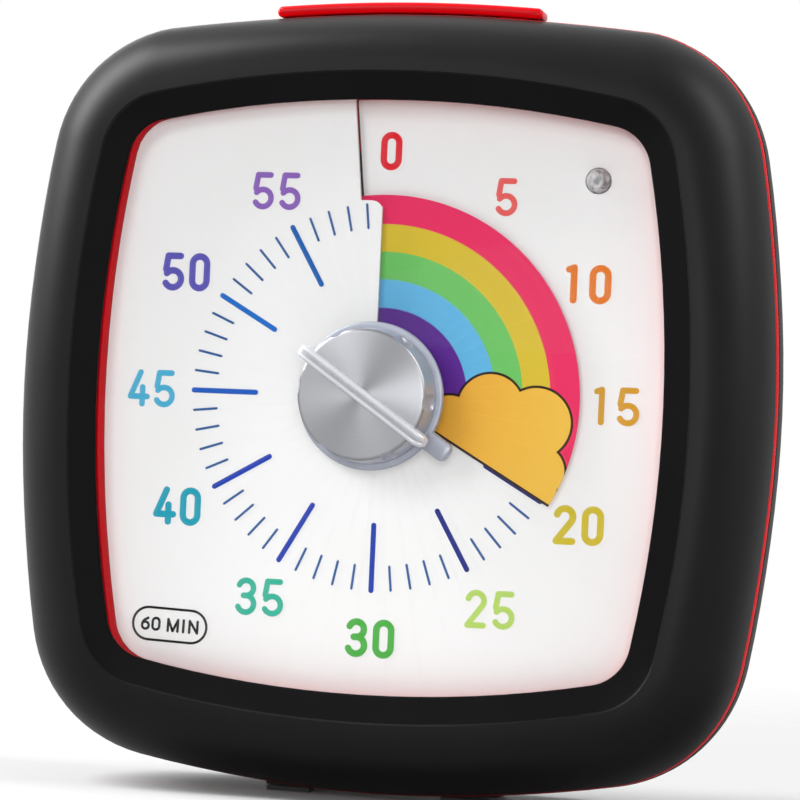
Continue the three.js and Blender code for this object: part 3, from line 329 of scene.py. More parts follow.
satin_black = moulded_abs("abs_satin_black", ("#0A0A0B", "#0D0D0E"), (0.42, 0.47), 0.45, 0.30, 0.11)
matt_black = moulded_abs("abs_matt_black", ("#0D0D0E", "#101011"), (0.60, 0.66), 0.6, 0.5, 0.04)
rear_black = moulded_abs("abs_rear_black", ("#141415", "#18181A"), (0.52, 0.58), 0.6, 0.5, 0.12)
red_abs = moulded_abs("abs_gloss_red", ("#CB0614", "#D40918"), (0.26, 0.31), 0.8, 0.10, 0.12)
frame_red = moulded_abs("abs_frame_red", ("#C40613", "#CC0816"), (0.36, 0.42), 0.8, 0.10, 0.03)
white_acetal = moulded_abs("acetal_white", ("#E4E4DF", "#E9E9E5"), (0.42, 0.5), 0.6, 0.15)
foot_rubber = moulded_abs("rubber_matt_black", ("#1E1E1E", "#262626"), (0.8, 0.88), 0.5, 0.5)
print("plastics", [m.name for m in (satin_black, matt_black, red_abs, white_acetal, foot_rubber)])

# %% [markdown]
# ## Metals and small parts inside
# Screws and springs are zinc plated steel, gears and bushing are turned brass. Turning leaves
# fine rings round each axis, drawn here as streaks. The coil is enamelled copper wire wound
# side by side, so its colour comes in narrow bands.

# %% Metals, board and cells
def turned_metal(name, colors, roughness, streak=0.5):
    material, tree, shader, where = new_material(name, Metallic=1.0)
    stretched = add(
        tree, "ShaderNodeMapping", {"Vector": where, "Scale": (1, 8, 1)}, vector_type="POINT"
    ).outputs["Vector"]
    mottled(tree, shader, stretched, colors, 4, roughness)
    grain(tree, shader, stretched, streak, 0.12, 0.02)
    return material


zinc_steel = turned_metal("steel_zinc_plated", ("#9C9EA0", "#B4B6B8"), (0.28, 0.38))
turned_brass = turned_metal("brass_turned", ("#B08D45", "#C4A057"), (0.25, 0.35))


def copper_winding():
    material, tree, shader, where = new_material("copper_enamelled", Metallic=1.0, Roughness=0.3)
    wave = add(
        tree,
        "ShaderNodeTexWave",
        {"Vector": where, "Scale": 1 / (2.4 * MM), "Distortion": 0.4},
        bands_direction="X",
    )
    color = ramp(tree, wave.outputs["Fac"], [(0.0, "#6E3A1A"), (0.5, "#B5652F")])
    tree.links.new(color, shader.inputs["Base Color"])
    return material


copper = copper_winding()
board_green = moulded_abs("solder_mask_green", ("#14522B", "#1B6636"), (0.3, 0.4), 2.0, 0.1)
cell_blue = moulded_abs("cell_jacket_blue", ("#2C5A88", "#31649A"), (0.3, 0.36), 3.0, 0.05)
print("metals", zinc_steel.name, turned_brass.name, copper.name)

# %% [markdown]
# ## Clear plastics
# The window is cast acrylic, IOR 1.49, nearly free of reflections face on. It is mostly let
# through, so that the dial behind it keeps its own light. The lamp is a clear epoxy dome, whose
# reflections and highlights are painted into its colour as grey and white blotches.

# %% Clear acrylic and epoxy
lens_clear, _, _, _ = new_material(
    "acrylic_clear", Transmission_Weight=1.0, IOR=1.49, Roughness=0.02, Alpha=0.03
)


def clear_epoxy():
    """Clear epoxy over a bright cup, with painted reflections and highlights: grey to white blotches about 1.5 mm
    wide in its colour stand in for what the dome bends and reflects
    """
    material, tree, shader, where = new_material(
        "epoxy_clear", Transmission_Weight=0.35, IOR=1.52, Roughness=0.06
    )
    # painted reflections and highlights: noise blotches, grey to white in the base colour, stand in for what the
    # clear dome bends and reflects
    painted_glints = add(
        tree, "ShaderNodeTexNoise", {"Vector": where, "Scale": 1 / (1.5 * MM), "Detail": 3}
    )
    color = ramp(
        tree, painted_glints.outputs["Fac"], [(0.36, "#8C8D90"), (0.5, "#D2D3D6"), (0.62, "#FAFAFA")]
    )
    tree.links.new(color, shader.inputs["Base Color"])
    return material


lamp_clear = clear_epoxy()
print("clear", lens_clear.name, lamp_clear.name)

# %% [markdown]
# ## The housing's outline
# Seen from the front the housing is a square whose four sides bow outwards and whose corners
# are rounded. Every ring of it, from the seam to the window, is the same kind of outline with
# its own half width and corner radius, so one function draws them all with the same number of
# points. The sides are arcs of one large radius, and the corner arcs meet them without a kink.
# The finished outer pieces are then settled a little: the crown under the handle is flatter and
# the corners are squarer than such arcs alone would give.

# %% Outline of the housing
WIDEST_HALF = 95.0
WIDEST_CORNER = 38.0
SIDE_RADIUS = 285.0
HEIGHT_SHARE = 1.02
SIDE_POINTS = 16
CORNER_POINTS = 14
SETTLE_FROM = 0.87
CORNER_PUSH = 1.2
CROWN_DROP = 2.1
CROWN_HALF = 61.0


def outline_arcs(half_width, corner):
    """Centre of the side arc, centre of the corner arc and the angle where they meet"""
    offset = half_width - SIDE_RADIUS
    reach = SIDE_RADIUS - corner
    centre = (offset + sqrt(2 * reach**2 - offset**2)) / 2
    return offset, centre, atan2(centre, centre - offset)


def outline(half_width, corner):
    """The outline's points, counterclockwise from the lower end of the right side"""
    offset, centre, meet = outline_arcs(half_width, corner)
    points = []
    for quarter in range(4):
        side = [
            (offset, 0, SIDE_RADIUS, meet * (2 * i / SIDE_POINTS - 1)) for i in range(SIDE_POINTS)
        ]
        bend = [
            (centre, centre, corner, meet + (pi / 2 - 2 * meet) * i / CORNER_POINTS)
            for i in range(CORNER_POINTS)
        ]
        for cx, cy, radius, angle in side + bend:
            x, y = cx + radius * cos(angle), cy + radius * sin(angle)
            c, s = cos(quarter * pi / 2), sin(quarter * pi / 2)
            points.append((x * c - y * s, (x * s + y * c) * HEIGHT_SHARE))
    return points


def outline_reach(half_width, corner, x, y):
    """How many times farther out than (x, y) the outline lies in the same direction"""
    offset, centre, meet = outline_arcs(half_width, corner)
    u, v = max(abs(x), abs(y / HEIGHT_SHARE)), min(abs(x), abs(y / HEIGHT_SHARE))
    size = hypot(u, v)
    u, v = u / size, v / size
    side = offset * u + sqrt((offset * u) ** 2 - offset**2 + SIDE_RADIUS**2)
    if atan2(side * v, side * u - offset) < meet:
        return side / size
    along = centre * (u + v)
    return (along + sqrt(along**2 - 2 * centre**2 + corner**2)) / size


def crown_at(x):
    """Height of the housing's top edge over a place across it"""
    return (WIDEST_HALF - SIDE_RADIUS + sqrt(SIDE_RADIUS**2 - x**2)) * HEIGHT_SHARE


def outline_ring(section):
    """A ring round the window. section lists (half width, corner, depth) once round its wall"""
    loops = [outline(half, corner) for half, corner, _ in section]
    bpy.ops.object.select_all(action="DESELECT")
    bpy.ops.mesh.primitive_torus_add(major_segments=len(loops[0]), minor_segments=len(section))
    obj = bpy.context.object
    for index, vertex in enumerate(obj.data.vertices):
        around, along = divmod(index, len(section))
        vertex.co = place(*loops[along][around], section[along][2])
    return tidy_mesh(obj)


def settled(obj):
    """Flatten the crown over the window and square the four corners a little, near the rim"""
    for vertex in obj.data.vertices:
        x, y = vertex.co.x / MM, (vertex.co.z - middle_z) / MM
        out = 1 / outline_reach(WIDEST_HALF, WIDEST_CORNER, x, y)
        share = min(1, max(0, (out - SETTLE_FROM) / (1 - SETTLE_FROM)))
        share *= share * (3 - 2 * share)
        push = CORNER_PUSH * share * abs(2 * x * y / (x * x + y * y)) ** 6
        drop = CROWN_DROP * share * max(0, 1 - (x / CROWN_HALF) ** 2) if y > 0 else 0
        size = hypot(x, y)
        vertex.co.x += push * x / size * MM
        vertex.co.z += (push * y / size - drop) * MM
    return obj


print("outline of", len(outline(WIDEST_HALF, WIDEST_CORNER)), "points")

# %% [markdown]
# ## The front bezel
# The bezel is one moulding: a deep rounded bulge, a crisp crease, a matt band that slopes down
# to the window, and a thin lip that holds the lens. It is a ring, so it starts as a torus whose
# section is replaced by the real one. The bulge follows a quarter ellipse that runs on past
# the seam: the housing is widest a little behind the red line, so the line shows from the front.

# %% Front bezel
SEAM = -9.0
CREST = 9.0
CREASE = 8.6
CREASE_HALF = 76.2
CREASE_STEP = 0.4
CREASE_CORNER = 16.5
WINDOW_HALF = 69.9
WINDOW_CORNER = 11.0
LIP_FRONT = 7.2
LIP_BACK = 6.4
LIP_CHAMFER = 0.35
WALL = 2.5
FRAME_WALL = 2.3
SKIRT = 2.6
SKIRT_END = -2.0
GAP = 0.3
BULGE_END = radians(74)
BULGE_STEPS = 14

widest = (SEAM - CREST * cos(BULGE_END)) / (1 - cos(BULGE_END))


def side_at(angle, inset=0.0):
    """Half width, corner radius and depth of the housing's side at an angle of its ellipse"""
    half = CREASE_HALF + CREASE_STEP
    half += (WIDEST_HALF - half) * sin(angle)
    corner = CREASE_CORNER + (WIDEST_CORNER - CREASE_CORNER) * sin(angle)
    return half - inset, corner - inset, widest + (CREST - widest) * cos(angle)


def side_at_depth(depth, inset=0.0):
    """The same at a depth"""
    return side_at(acos((depth - widest) / (CREST - widest)), inset)


def bulge(step, wall):
    """One ring of the bulge, from its crest to the seam, or of the inside of its wall"""
    angle = step / BULGE_STEPS * BULGE_END
    forward = (cos(angle) - cos(BULGE_END)) / (1 - cos(BULGE_END))
    half, corner, depth = side_at(angle, wall * sin(angle) / sin(BULGE_END))
    return half, corner, depth - wall * forward


pocket = WINDOW_HALF + FRAME_WALL + GAP
pocket_corner = WINDOW_CORNER + FRAME_WALL + GAP
bezel = outline_ring(
    [bulge(step, 0) for step in range(BULGE_STEPS, -1, -1)]
    + [
        (CREASE_HALF, CREASE_CORNER, CREASE),
        (WINDOW_HALF + LIP_CHAMFER, WINDOW_CORNER + LIP_CHAMFER, LIP_FRONT),
        (WINDOW_HALF, WINDOW_CORNER, LIP_FRONT - LIP_CHAMFER),
        (WINDOW_HALF, WINDOW_CORNER, LIP_BACK),
        (pocket, pocket_corner, LIP_BACK),
        (pocket, pocket_corner, SKIRT_END),
        (pocket + SKIRT, pocket_corner + SKIRT, SKIRT_END),
        (pocket + SKIRT, pocket_corner + SKIRT, LIP_BACK),
    ]
    + [bulge(step, WALL) for step in range(BULGE_STEPS + 1)]
)

# %% [markdown]
# The band and the lip get the matt finish. They are picked by place: everything in front of
# the lip's back and inside the crease.

# %% Matt band and finish of the bezel
for polygon in bezel.data.polygons:
    x, y = polygon.center.x / MM, (polygon.center.z - middle_z) / MM
    depth = (middle_y - polygon.center.y) / MM
    in_crease = outline_reach(CREASE_HALF, CREASE_CORNER, x, y) > 1
    polygon.material_index = int(in_crease and depth > LIP_BACK - LIP_CHAMFER)
finished(
    settled(bezel), "bezel", "housing", "black_plastic", satin_black, matt_black,
    replaces=["front_bezel"],
)

# %% [markdown]
# ## The red frame
# One red moulding shows twice: as the thin line between the two black shells, where its edge is
# rounded and lies level with the black, so that it shows best from the side, and as the wall
# inside the window, which leans inwards a little so that it leaves its mould. A shelf at the
# wall's foot carries the dial. All of it is one ring, with the same outline function.

# %% Red frame
FLANGE_FRONT = -9.05
FLANGE_BACK = -11.7
WEB_BACK = -12.5
SHELF_FRONT = -5.0
SHELF_BACK = -7.0
SHELF_WIDTH = 12.0
DRAFT = 0.6
BEAD_SUNK = 0.0
BEAD_ROUND = 0.12
BEAD_STEPS = 6
WALL_BACK = 1.25

frame_outer = WINDOW_HALF + FRAME_WALL
frame_corner = WINDOW_CORNER + FRAME_WALL
shelf_corner = WINDOW_CORNER - DRAFT
rear_rim = FLANGE_BACK - GAP
rim_half, rim_corner, _ = side_at_depth(rear_rim, WALL + GAP)


def taller(y):
    """The red wall and the dial stand back behind the lip at the top and the bottom"""
    return y * (1 + WALL_BACK / WINDOW_HALF)


def bead(step):
    """One ring of the red line's rounded edge, from its back to its front"""
    share = step / BEAD_STEPS
    depth = FLANGE_BACK + (FLANGE_FRONT - FLANGE_BACK) * (1 - cos(pi * share)) / 2
    return side_at_depth(depth, BEAD_SUNK + BEAD_ROUND * (1 - sin(pi * share)))


red_frame = outline_ring(
    [bead(step) for step in range(BEAD_STEPS + 1)]
    + [
        (frame_outer, frame_corner, FLANGE_FRONT),
        (frame_outer, frame_corner, LENS_BACK - GAP),
        (WINDOW_HALF, WINDOW_CORNER, LENS_BACK - GAP),
        (WINDOW_HALF - DRAFT, shelf_corner, SHELF_FRONT),
        (WINDOW_HALF - SHELF_WIDTH, shelf_corner, SHELF_FRONT),
        (WINDOW_HALF - SHELF_WIDTH, shelf_corner, SHELF_BACK),
        (WINDOW_HALF - DRAFT, shelf_corner, SHELF_BACK),
        (WINDOW_HALF - DRAFT, shelf_corner, WEB_BACK),
        (rim_half, rim_corner, WEB_BACK),
        (rim_half, rim_corner, FLANGE_BACK),
    ]
)
modify(red_frame, "BEVEL", width=0.12 * MM, segments=2, limit_method="ANGLE", angle_limit=radians(50))
tidy_mesh(red_frame)
for vertex in red_frame.data.vertices:
    x, y = vertex.co.x / MM, (vertex.co.z - middle_z) / MM
    if outline_reach(WINDOW_HALF + 0.2, WINDOW_CORNER, x, y) > 1:
        vertex.co.z = middle_z + taller(y) * MM
finished(settled(red_frame), "red_frame", "housing", "red_plastic", frame_red, replaces=["mid_frame"])

# %% [markdown]
# ## The dial sheet
# The dial is a white sheet of vinyl-coated plastic, printed and satin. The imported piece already
# has its climb, the slit and the small round corner at the jog. Only its rim, which is drawn
# with a few long facets, is cut finer and moved onto the window's true outline.

# %% Printed white sheet
def white_sheet():
    material, tree, shader, where = new_material("printed_white_sheet", IOR=1.46, Specular_IOR_Level=0.2)
    mottled(tree, shader, where, ("#F4F4F3", "#F6F6F6"), 40, (0.5, 0.56))
    grain(tree, shader, where, 0.8, 0.05, 0.02)
    return material


DIAL_GAP = 0.3
RIM_GROWTH = 0.45
FACET_DEPTH = 0.65
TAB = ((-7.5, 1.0), (46.0, 48.6))
TAB_DROP = 1.0


def on_dial_rim(x, y, depth):
    """The place on the dial's true rim, close to the red wall, for a point on its faceted rim"""
    corner = WINDOW_CORNER - DRAFT
    scale = outline_reach(WINDOW_HALF - DRAFT - DIAL_GAP, corner, x, y)
    if not -0.05 < (scale - 1) * hypot(x, y) < FACET_DEPTH:
        return None
    scale = outline_reach(WINDOW_HALF - DRAFT - DIAL_GAP + RIM_GROWTH, corner, x, y)
    return x * scale, taller(y * scale), depth


def lower_tab(obj):
    """Lower the tab beside the split, so that the disc's rim shows above it"""
    for vertex in obj.data.vertices:
        x, y = vertex.co.x / MM, (vertex.co.z - middle_z) / MM
        on_high_end = (middle_y - vertex.co.y) / MM > 0
        if on_high_end and TAB[0][0] < x < TAB[0][1] and TAB[1][0] < y < TAB[1][1]:
            vertex.co.z -= TAB_DROP * MM
    return obj


dial_white = white_sheet()
dial = lower_tab(refined(copy_of("dial_plate"), on_dial_rim, 3))
modify(dial, "TRIANGULATE")
bpy.ops.object.shade_flat()
finished(dial, "dial", "housing", "dial_print", dial_white, replaces=["dial_plate"])

# %% [markdown]
# ## The coloured disc
# The disc is a thin printed film. Its rainbow bands are rings round the axis, so the colour is
# read from the distance to the axis through a ramp with hard steps. A plain golden patch of
# overlapping circles lies next to the leading edge, with a fine dark line round it and along
# the edge.

# %% Disc film
BANDS = [
    (0.0, "#5C2792"),
    (21.6, "#64B8E6"),
    (28.5, "#6FC566"),
    (35.1, "#DABF38"),
    (41.9, "#EB3064"),
]
PATCH = [
    (97, 39.0, 8.4),
    (93, 27.5, 8.0),
    (108, 28.0, 9.0),
    (112, 43.0, 6.2),
    (108, 18.5, 6.8),
    (119, 36.0, 9.0),
    (120, 45.5, 5.4),
]
PATCH_LINE = 0.6


def disc_film():
    material, tree, shader, where = new_material(
        "printed_film", Roughness=0.42, IOR=1.5, Specular_IOR_Level=0.1
    )
    flat = add(tree, "ShaderNodeMapping", {"Vector": where, "Location": (0, 0, -middle_z)})
    parts = add(tree, "ShaderNodeSeparateXYZ", {"Vector": flat.outputs["Vector"]})
    plane = add(
        tree, "ShaderNodeCombineXYZ", {"X": parts.outputs["X"], "Z": parts.outputs["Z"]}
    ).outputs["Vector"]
    radius = add(tree, "ShaderNodeVectorMath", {0: plane}, operation="LENGTH").outputs["Value"]
    share = add(
        tree, "ShaderNodeMath", {0: radius, 1: DISC_RADIUS * MM}, operation="DIVIDE"
    ).outputs["Value"]
    bands = ramp(tree, share, [(r / DISC_RADIUS, c) for r, c in BANDS], "CONSTANT")
    nearest = None
    for clockwise, distance, size in PATCH:
        a = radians(clockwise)
        centre = (distance * sin(a) * MM, 0, distance * cos(a) * MM)
        away = add(tree, "ShaderNodeVectorMath", {0: plane, 1: centre}, operation="DISTANCE")
        edge = add(
            tree, "ShaderNodeMath", {0: away.outputs["Value"], 1: size * MM}, operation="SUBTRACT"
        ).outputs["Value"]
        if nearest:
            edge = add(
                tree, "ShaderNodeMath", {0: nearest, 1: edge}, operation="MINIMUM"
            ).outputs["Value"]
        nearest = edge
    inside = add(tree, "ShaderNodeMath", {0: nearest, 1: 0.0}, operation="LESS_THAN")
    lined = add(tree, "ShaderNodeMath", {0: nearest, 1: PATCH_LINE * MM}, operation="LESS_THAN")
    gold = ramp(tree, share, [(0.3, "#E9A93A"), (0.9, "#EFBE4C")])
    with_line = add(
        tree,
        "ShaderNodeMix",
        {"Factor": lined.outputs["Value"], 6: bands, 7: linear("#2A1512")},
        data_type="RGBA",
    )
    with_patch = add(
        tree,
        "ShaderNodeMix",
        {"Factor": inside.outputs["Value"], 6: with_line.outputs[2], 7: gold},
        data_type="RGBA",
    )
    c = radians(REST_ANGLE)
    along = add(
        tree, "ShaderNodeVectorMath", {0: plane, 1: (sin(c), 0, cos(c))}, operation="DOT_PRODUCT"
    )
    across = add(
        tree, "ShaderNodeVectorMath", {0: plane, 1: (cos(c), 0, -sin(c))}, operation="DOT_PRODUCT"
    )
    ahead = add(tree, "ShaderNodeMath", {0: along.outputs["Value"], 1: 0.0}, operation="GREATER_THAN")
    at_edge = add(
        tree,
        "ShaderNodeMath",
        {0: across.outputs["Value"], 1: 0.0, 2: PATCH_LINE * MM},
        operation="COMPARE",
    )
    edge_line = add(
        tree,
        "ShaderNodeMath",
        {0: ahead.outputs["Value"], 1: at_edge.outputs["Value"]},
        operation="MULTIPLY",
    )
    with_edge = add(
        tree,
        "ShaderNodeMix",
        {"Factor": edge_line.outputs["Value"], 6: with_patch.outputs[2], 7: linear("#2A1512")},
        data_type="RGBA",
    )
    tree.links.new(with_edge.outputs[2], shader.inputs["Base Color"])
    grain(tree, shader, where, 1.2, 0.05, 0.02)
    return material


def on_disc_rim(x, y, depth):
    """The same place on the disc's true rim"""
    scale = DISC_RADIUS / hypot(x, y)
    return (x * scale, y * scale, depth) if 0.999 < scale < 1.004 else None


film = disc_film()
disc = refined(copy_of("time_disc"), on_disc_rim, 2)
modify(disc, "TRIANGULATE")
bpy.ops.object.shade_flat()
finished(disc, "disc_sheet", "disc", "disc_film", film, replaces=["time_disc"])

# %% [markdown]
# ## Printed marks
# Ink has almost no thickness, but as thin plates the marks stay sharp from any distance. The
# ticks are drawn one by one round the dial and joined into one print. Every mark is dropped on the
# dial's own climb: each point takes the height of the sheet below it.

# %% Laying print on the dial
INK = 0.03
INK_LIFT = 0.04
TICK_OUTER = 46.6
LONG_TICK = 15.7
SHORT_TICK = 5.7


def laid_on_dial(obj):
    """Move each point of a flat print to the height of the dial below it"""
    for vertex in obj.data.vertices:
        x = vertex.co.x / MM
        y = (vertex.co.z - middle_z) / MM
        height = (middle_y - vertex.co.y) / MM
        vertex.co = place(x, y, dial_top(x, y) + INK_LIFT + height)
    return obj


def printed_ink(name, hex_color):
    """Pad-printed ink: satin, very slightly uneven"""
    material, tree, shader, where = new_material(
        "ink_" + name, Roughness=0.5, IOR=1.5, Specular_IOR_Level=0.1
    )
    noise = add(tree, "ShaderNodeTexNoise", {"Vector": where, "Scale": 1 / (2.5 * MM)})
    base = linear(hex_color)
    light = [min(1, c * 1.06 + 0.004) for c in base[:3]] + [1]
    mix = add(
        tree,
        "ShaderNodeMix",
        {"Factor": noise.outputs["Fac"], 6: base, 7: light},
        data_type="RGBA",
    )
    tree.links.new(mix.outputs[2], shader.inputs["Base Color"])
    return material


def plate_from(points, lift=0.0):
    """A thin plate of ink with this outline"""
    bpy.ops.object.select_all(action="DESELECT")
    bpy.ops.mesh.primitive_circle_add(vertices=len(points), fill_type="NGON")
    obj = bpy.context.object
    for vertex, (x, y) in zip(obj.data.vertices, points):
        vertex.co = place(x, y, lift)
    bpy.ops.object.mode_set(mode="EDIT")
    bpy.ops.mesh.select_all(action="SELECT")
    bpy.ops.mesh.extrude_region_move(TRANSFORM_OT_translate={"value": (0, -INK * MM, 0)})
    bpy.ops.mesh.select_all(action="SELECT")
    bpy.ops.mesh.normals_make_consistent(inside=False)
    bpy.ops.object.mode_set(mode="OBJECT")
    return obj


def stroke(path, width):
    """The outline of a pen stroke with round ends along a path of points"""
    cap = 8
    half = width / 2
    left, right = [], []
    for i, (x, y) in enumerate(path):
        before, after = path[max(i - 1, 0)], path[min(i + 1, len(path) - 1)]
        dx, dy = after[0] - before[0], after[1] - before[1]
        size = hypot(dx, dy)
        nx, ny = -dy / size * half, dx / size * half
        left.append((x + nx, y + ny))
        right.append((x - nx, y - ny))

    def round_end(centre, start):
        angle = atan2(start[1] - centre[1], start[0] - centre[0])
        return [
            (centre[0] + half * cos(angle - pi * i / cap), centre[1] + half * sin(angle - pi * i / cap))
            for i in range(1, cap)
        ]

    return left + round_end(path[-1], left[-1]) + right[::-1] + round_end(path[0], right[0])


def arc(cx, cy, radius, start, end, steps=14):
    """Points on an arc, its angles in degrees counterclockwise from the right"""
    angles = [radians(start + (end - start) * i / steps) for i in range(steps + 1)]
    return [(cx + radius * cos(a), cy + radius * sin(a)) for a in angles]


# %% [markdown]
# The long ticks run from two thirds of the ring to its rim, one for every five minutes, and
# get paler blue from the lower right round to the upper left. The short ones are a thin line.

# %% Ticks
def tick_ring(clockwise_degrees, length, width):
    """Ticks at these angles, joined to one print"""
    ticks = []
    for clockwise in clockwise_degrees:
        a = radians(clockwise)
        ends = [(r * sin(a), r * cos(a)) for r in (TICK_OUTER - length, TICK_OUTER)]
        ticks.append(plate_from(stroke(ends, width)))
    return laid_on_dial(joined(*ticks))


def tick_ink():
    """Blue ink that pales clockwise round the dial"""
    material, tree, shader, where = new_material(
        "ink_tick_blue", Roughness=0.5, IOR=1.5, Specular_IOR_Level=0.1
    )
    flat = add(tree, "ShaderNodeMapping", {"Vector": where, "Location": (0, 0, -middle_z)})
    parts = add(tree, "ShaderNodeSeparateXYZ", {"Vector": flat.outputs["Vector"]})
    left = add(tree, "ShaderNodeMath", {0: parts.outputs["X"], 1: -1.0}, operation="MULTIPLY")
    below = add(tree, "ShaderNodeMath", {0: parts.outputs["Z"], 1: -1.0}, operation="MULTIPLY")
    angle = add(
        tree,
        "ShaderNodeMath",
        {0: left.outputs["Value"], 1: below.outputs["Value"]},
        operation="ARCTAN2",
    )
    turned = add(
        tree,
        "ShaderNodeMapRange",
        {"Value": angle.outputs["Value"], "From Min": -pi, "From Max": pi},
    )
    color = ramp(
        tree,
        turned.outputs["Result"],
        [(0.40, "#151F79"), (0.50, "#0D36A6"), (0.66, "#213FAF"), (0.83, "#1F6FC8"), (0.93, "#175DAC")],
    )
    tree.links.new(color, shader.inputs["Base Color"])
    return material


long_ticks = tick_ring(range(30, 360, 30), LONG_TICK, 1.25)
short_ticks = tick_ring([a for a in range(0, 360, 6) if a % 30], SHORT_TICK, 0.58)
finished(long_ticks, "five_minute_ticks", "housing", "dial_print", tick_ink())
finished(short_ticks, "minute_ticks", "housing", "dial_print", printed_ink("minute", "#285A96"))

# %% [markdown]
# ## Numerals
# The numbers are upright, drawn with a round pen of one width, as on a technical drawing. Each
# digit is a few strokes of lines and arcs between the pen's centre lines. The strokes of a
# digit lie on each other by a hair's thickness, so that none shares a plane with another. The
# full tens are a little bolder. The numbers stand on one circle, and some are set off it by a
# fraction of a millimetre.

# %% Digits as pen strokes
DIGIT_HEIGHT = 7.75
DIGIT_HALF = 1.93
PEN = 1.62
FINE_PEN = 1.4
NOUGHT_HALF = 1.85
top, half, nought = DIGIT_HEIGHT / 2, DIGIT_HALF, NOUGHT_HALF
DIGITS = {
    "0": [
        arc(0, top - nought, nought, 0, 180)
        + arc(0, nought - top, nought, 180, 360)
        + [(nought, top - nought)]
    ],
    "1": [[(0.35, -top), (0.35, top)], [(0.35, top - 0.05), (-0.85, top - 0.45)]],
    "2": [
        arc(0, top - half, half, 165, -38) + [(-half, -top)],
        [(-half, -top), (half, -top)],
    ],
    "3": [
        arc(0, top - 1.85, 1.85, 158, -90),
        arc(0, 2.05 - top, 2.05, 90, -158),
        [(-0.6, 0.18), (0, 0.18)],
    ],
    "4": [
        [(0.55, top), (-half, 1.8 - top)],
        [(-half, 1.8 - top), (half + 0.45, 1.8 - top)],
        [(1.15, 4.1 - top), (1.15, -top)],
    ],
    "5": [
        [(half - 0.15, top), (0.55 - half, top)],
        [(0.55 - half, top), (0.05 - half, 0.55)],
        arc(-0.05, 2.1 - top, 2.1, 140, -150, 18),
    ],
}
NUMERALS = {
    0: "#E01E2E",
    5: "#E85F5C",
    10: "#E57A25",
    15: "#D29B28",
    20: "#CDB92A",
    25: "#B3D465",
    30: "#4BAB45",
    35: "#3AB096",
    40: "#1F9DB4",
    45: "#4AAED3",
    50: "#5B55B2",
    55: "#8B62B9",
}
NUMERAL_RADIUS = 57.6
ZERO_RADIUS = 59.7
DIGIT_PITCH = 6.75
BY_EYE = {
    0: (-0.15, 0.0),
    5: (0, -0.75),
    10: (-0.75, 0),
    15: (-0.5, 0),
    20: (0, 0.25),
    25: (0.5, 0.25),
    30: (0.25, -0.5),
    35: (1.0, 0.25),
    40: (0.25, 0.25),
    55: (1.0, -0.75),
}


def numeral(minutes):
    """One number of the dial, its digits side by side about its middle"""
    text = str(minutes)
    a = radians(minutes * 6)
    reach = NUMERAL_RADIUS if minutes else ZERO_RADIUS
    set_off = BY_EYE.get(minutes, (0, 0))
    pen = FINE_PEN if minutes % 10 else PEN
    strokes = []
    for i, digit in enumerate(text):
        x0 = reach * sin(a) + (i - (len(text) - 1) / 2) * DIGIT_PITCH + set_off[0]
        y0 = reach * cos(a) + set_off[1]
        for layer, path in enumerate(DIGITS[digit]):
            moved = [(x0 + x, y0 + y) for x, y in path]
            if digit == "0":
                strokes.append(plate_ring(moved, pen))
            else:
                strokes.append(plate_from(stroke(moved, pen), layer * 0.005))
    return laid_on_dial(joined(*strokes))


def plate_ring(path, width):
    """A closed pen stroke, such as a nought: a flat ring with a square section"""
    path = path[:-1]
    count = len(path)
    bpy.ops.object.select_all(action="DESELECT")
    bpy.ops.mesh.primitive_torus_add(major_segments=count, minor_segments=4)
    obj = bpy.context.object
    section = [(width / 2, 0), (width / 2, INK), (-width / 2, INK), (-width / 2, 0)]
    for index, vertex in enumerate(obj.data.vertices):
        around, along = divmod(index, 4)
        before, after = path[around - 1], path[(around + 1) % count]
        dx, dy = after[0] - before[0], after[1] - before[1]
        size = hypot(dx, dy)
        out, lift = section[along]
        x, y = path[around]
        vertex.co = place(x + dy / size * out, y - dx / size * out, lift)
    only(obj)
    bpy.ops.object.mode_set(mode="EDIT")
    bpy.ops.mesh.select_all(action="SELECT")
    bpy.ops.mesh.normals_make_consistent(inside=False)
    bpy.ops.object.mode_set(mode="OBJECT")
    return obj


for minutes, color in NUMERALS.items():
    ink = printed_ink(f"numeral_{minutes}", color)
    finished(numeral(minutes), f"numeral_{minutes}", "housing", "dial_print", ink)

# %% [markdown]
# ## The range mark
# A small capsule outline at the lower left says how long the timer can run. The capsule is a
# closed pen stroke like the noughts, and the words are drawn with the same pen, letter by letter.

# %% Range mark
MARK_X = -50.2
MARK_Y = -57.7
MARK_WIDTH = 18.8
MARK_HEIGHT = 7.9
MARK_PEN = 0.6
MARK_TILT = -2.0
LETTER_PEN = 0.62
rise, side = 1.42, 0.86
LETTERS = [
    ("loop", -6.2, arc(0, side - rise, side, 0, 360, 20)),
    ("line", -6.2, [(-side, side - rise)] + arc(0.9, side - rise, 1.76, 172, 105, 8) + [(0.62, 1.3)]),
    ("loop", -3.5, arc(0, rise - side, side, 0, 180) + arc(0, side - rise, side, 180, 360)),
    ("line", 0.85, [(-1.25, -rise), (-1.25, rise)]),
    ("line", 0.85, [(-1.25, rise), (0, -rise)]),
    ("line", 0.85, [(0, -rise), (1.25, rise)]),
    ("line", 0.85, [(1.25, rise), (1.25, -rise)]),
    ("line", 3.55, [(0, -rise), (0, rise)]),
    ("line", 6.1, [(-1, -rise), (-1, rise)]),
    ("line", 6.1, [(-1, rise), (1, -rise)]),
    ("line", 6.1, [(1, -rise), (1, rise)]),
]
tilt = radians(MARK_TILT)


def on_mark(points, along=0.0):
    """Points of the mark turned to its tilt and moved to its place"""
    return [
        (
            MARK_X + (x + along) * cos(tilt) - y * sin(tilt),
            MARK_Y + (x + along) * sin(tilt) + y * cos(tilt),
        )
        for x, y in points
    ]


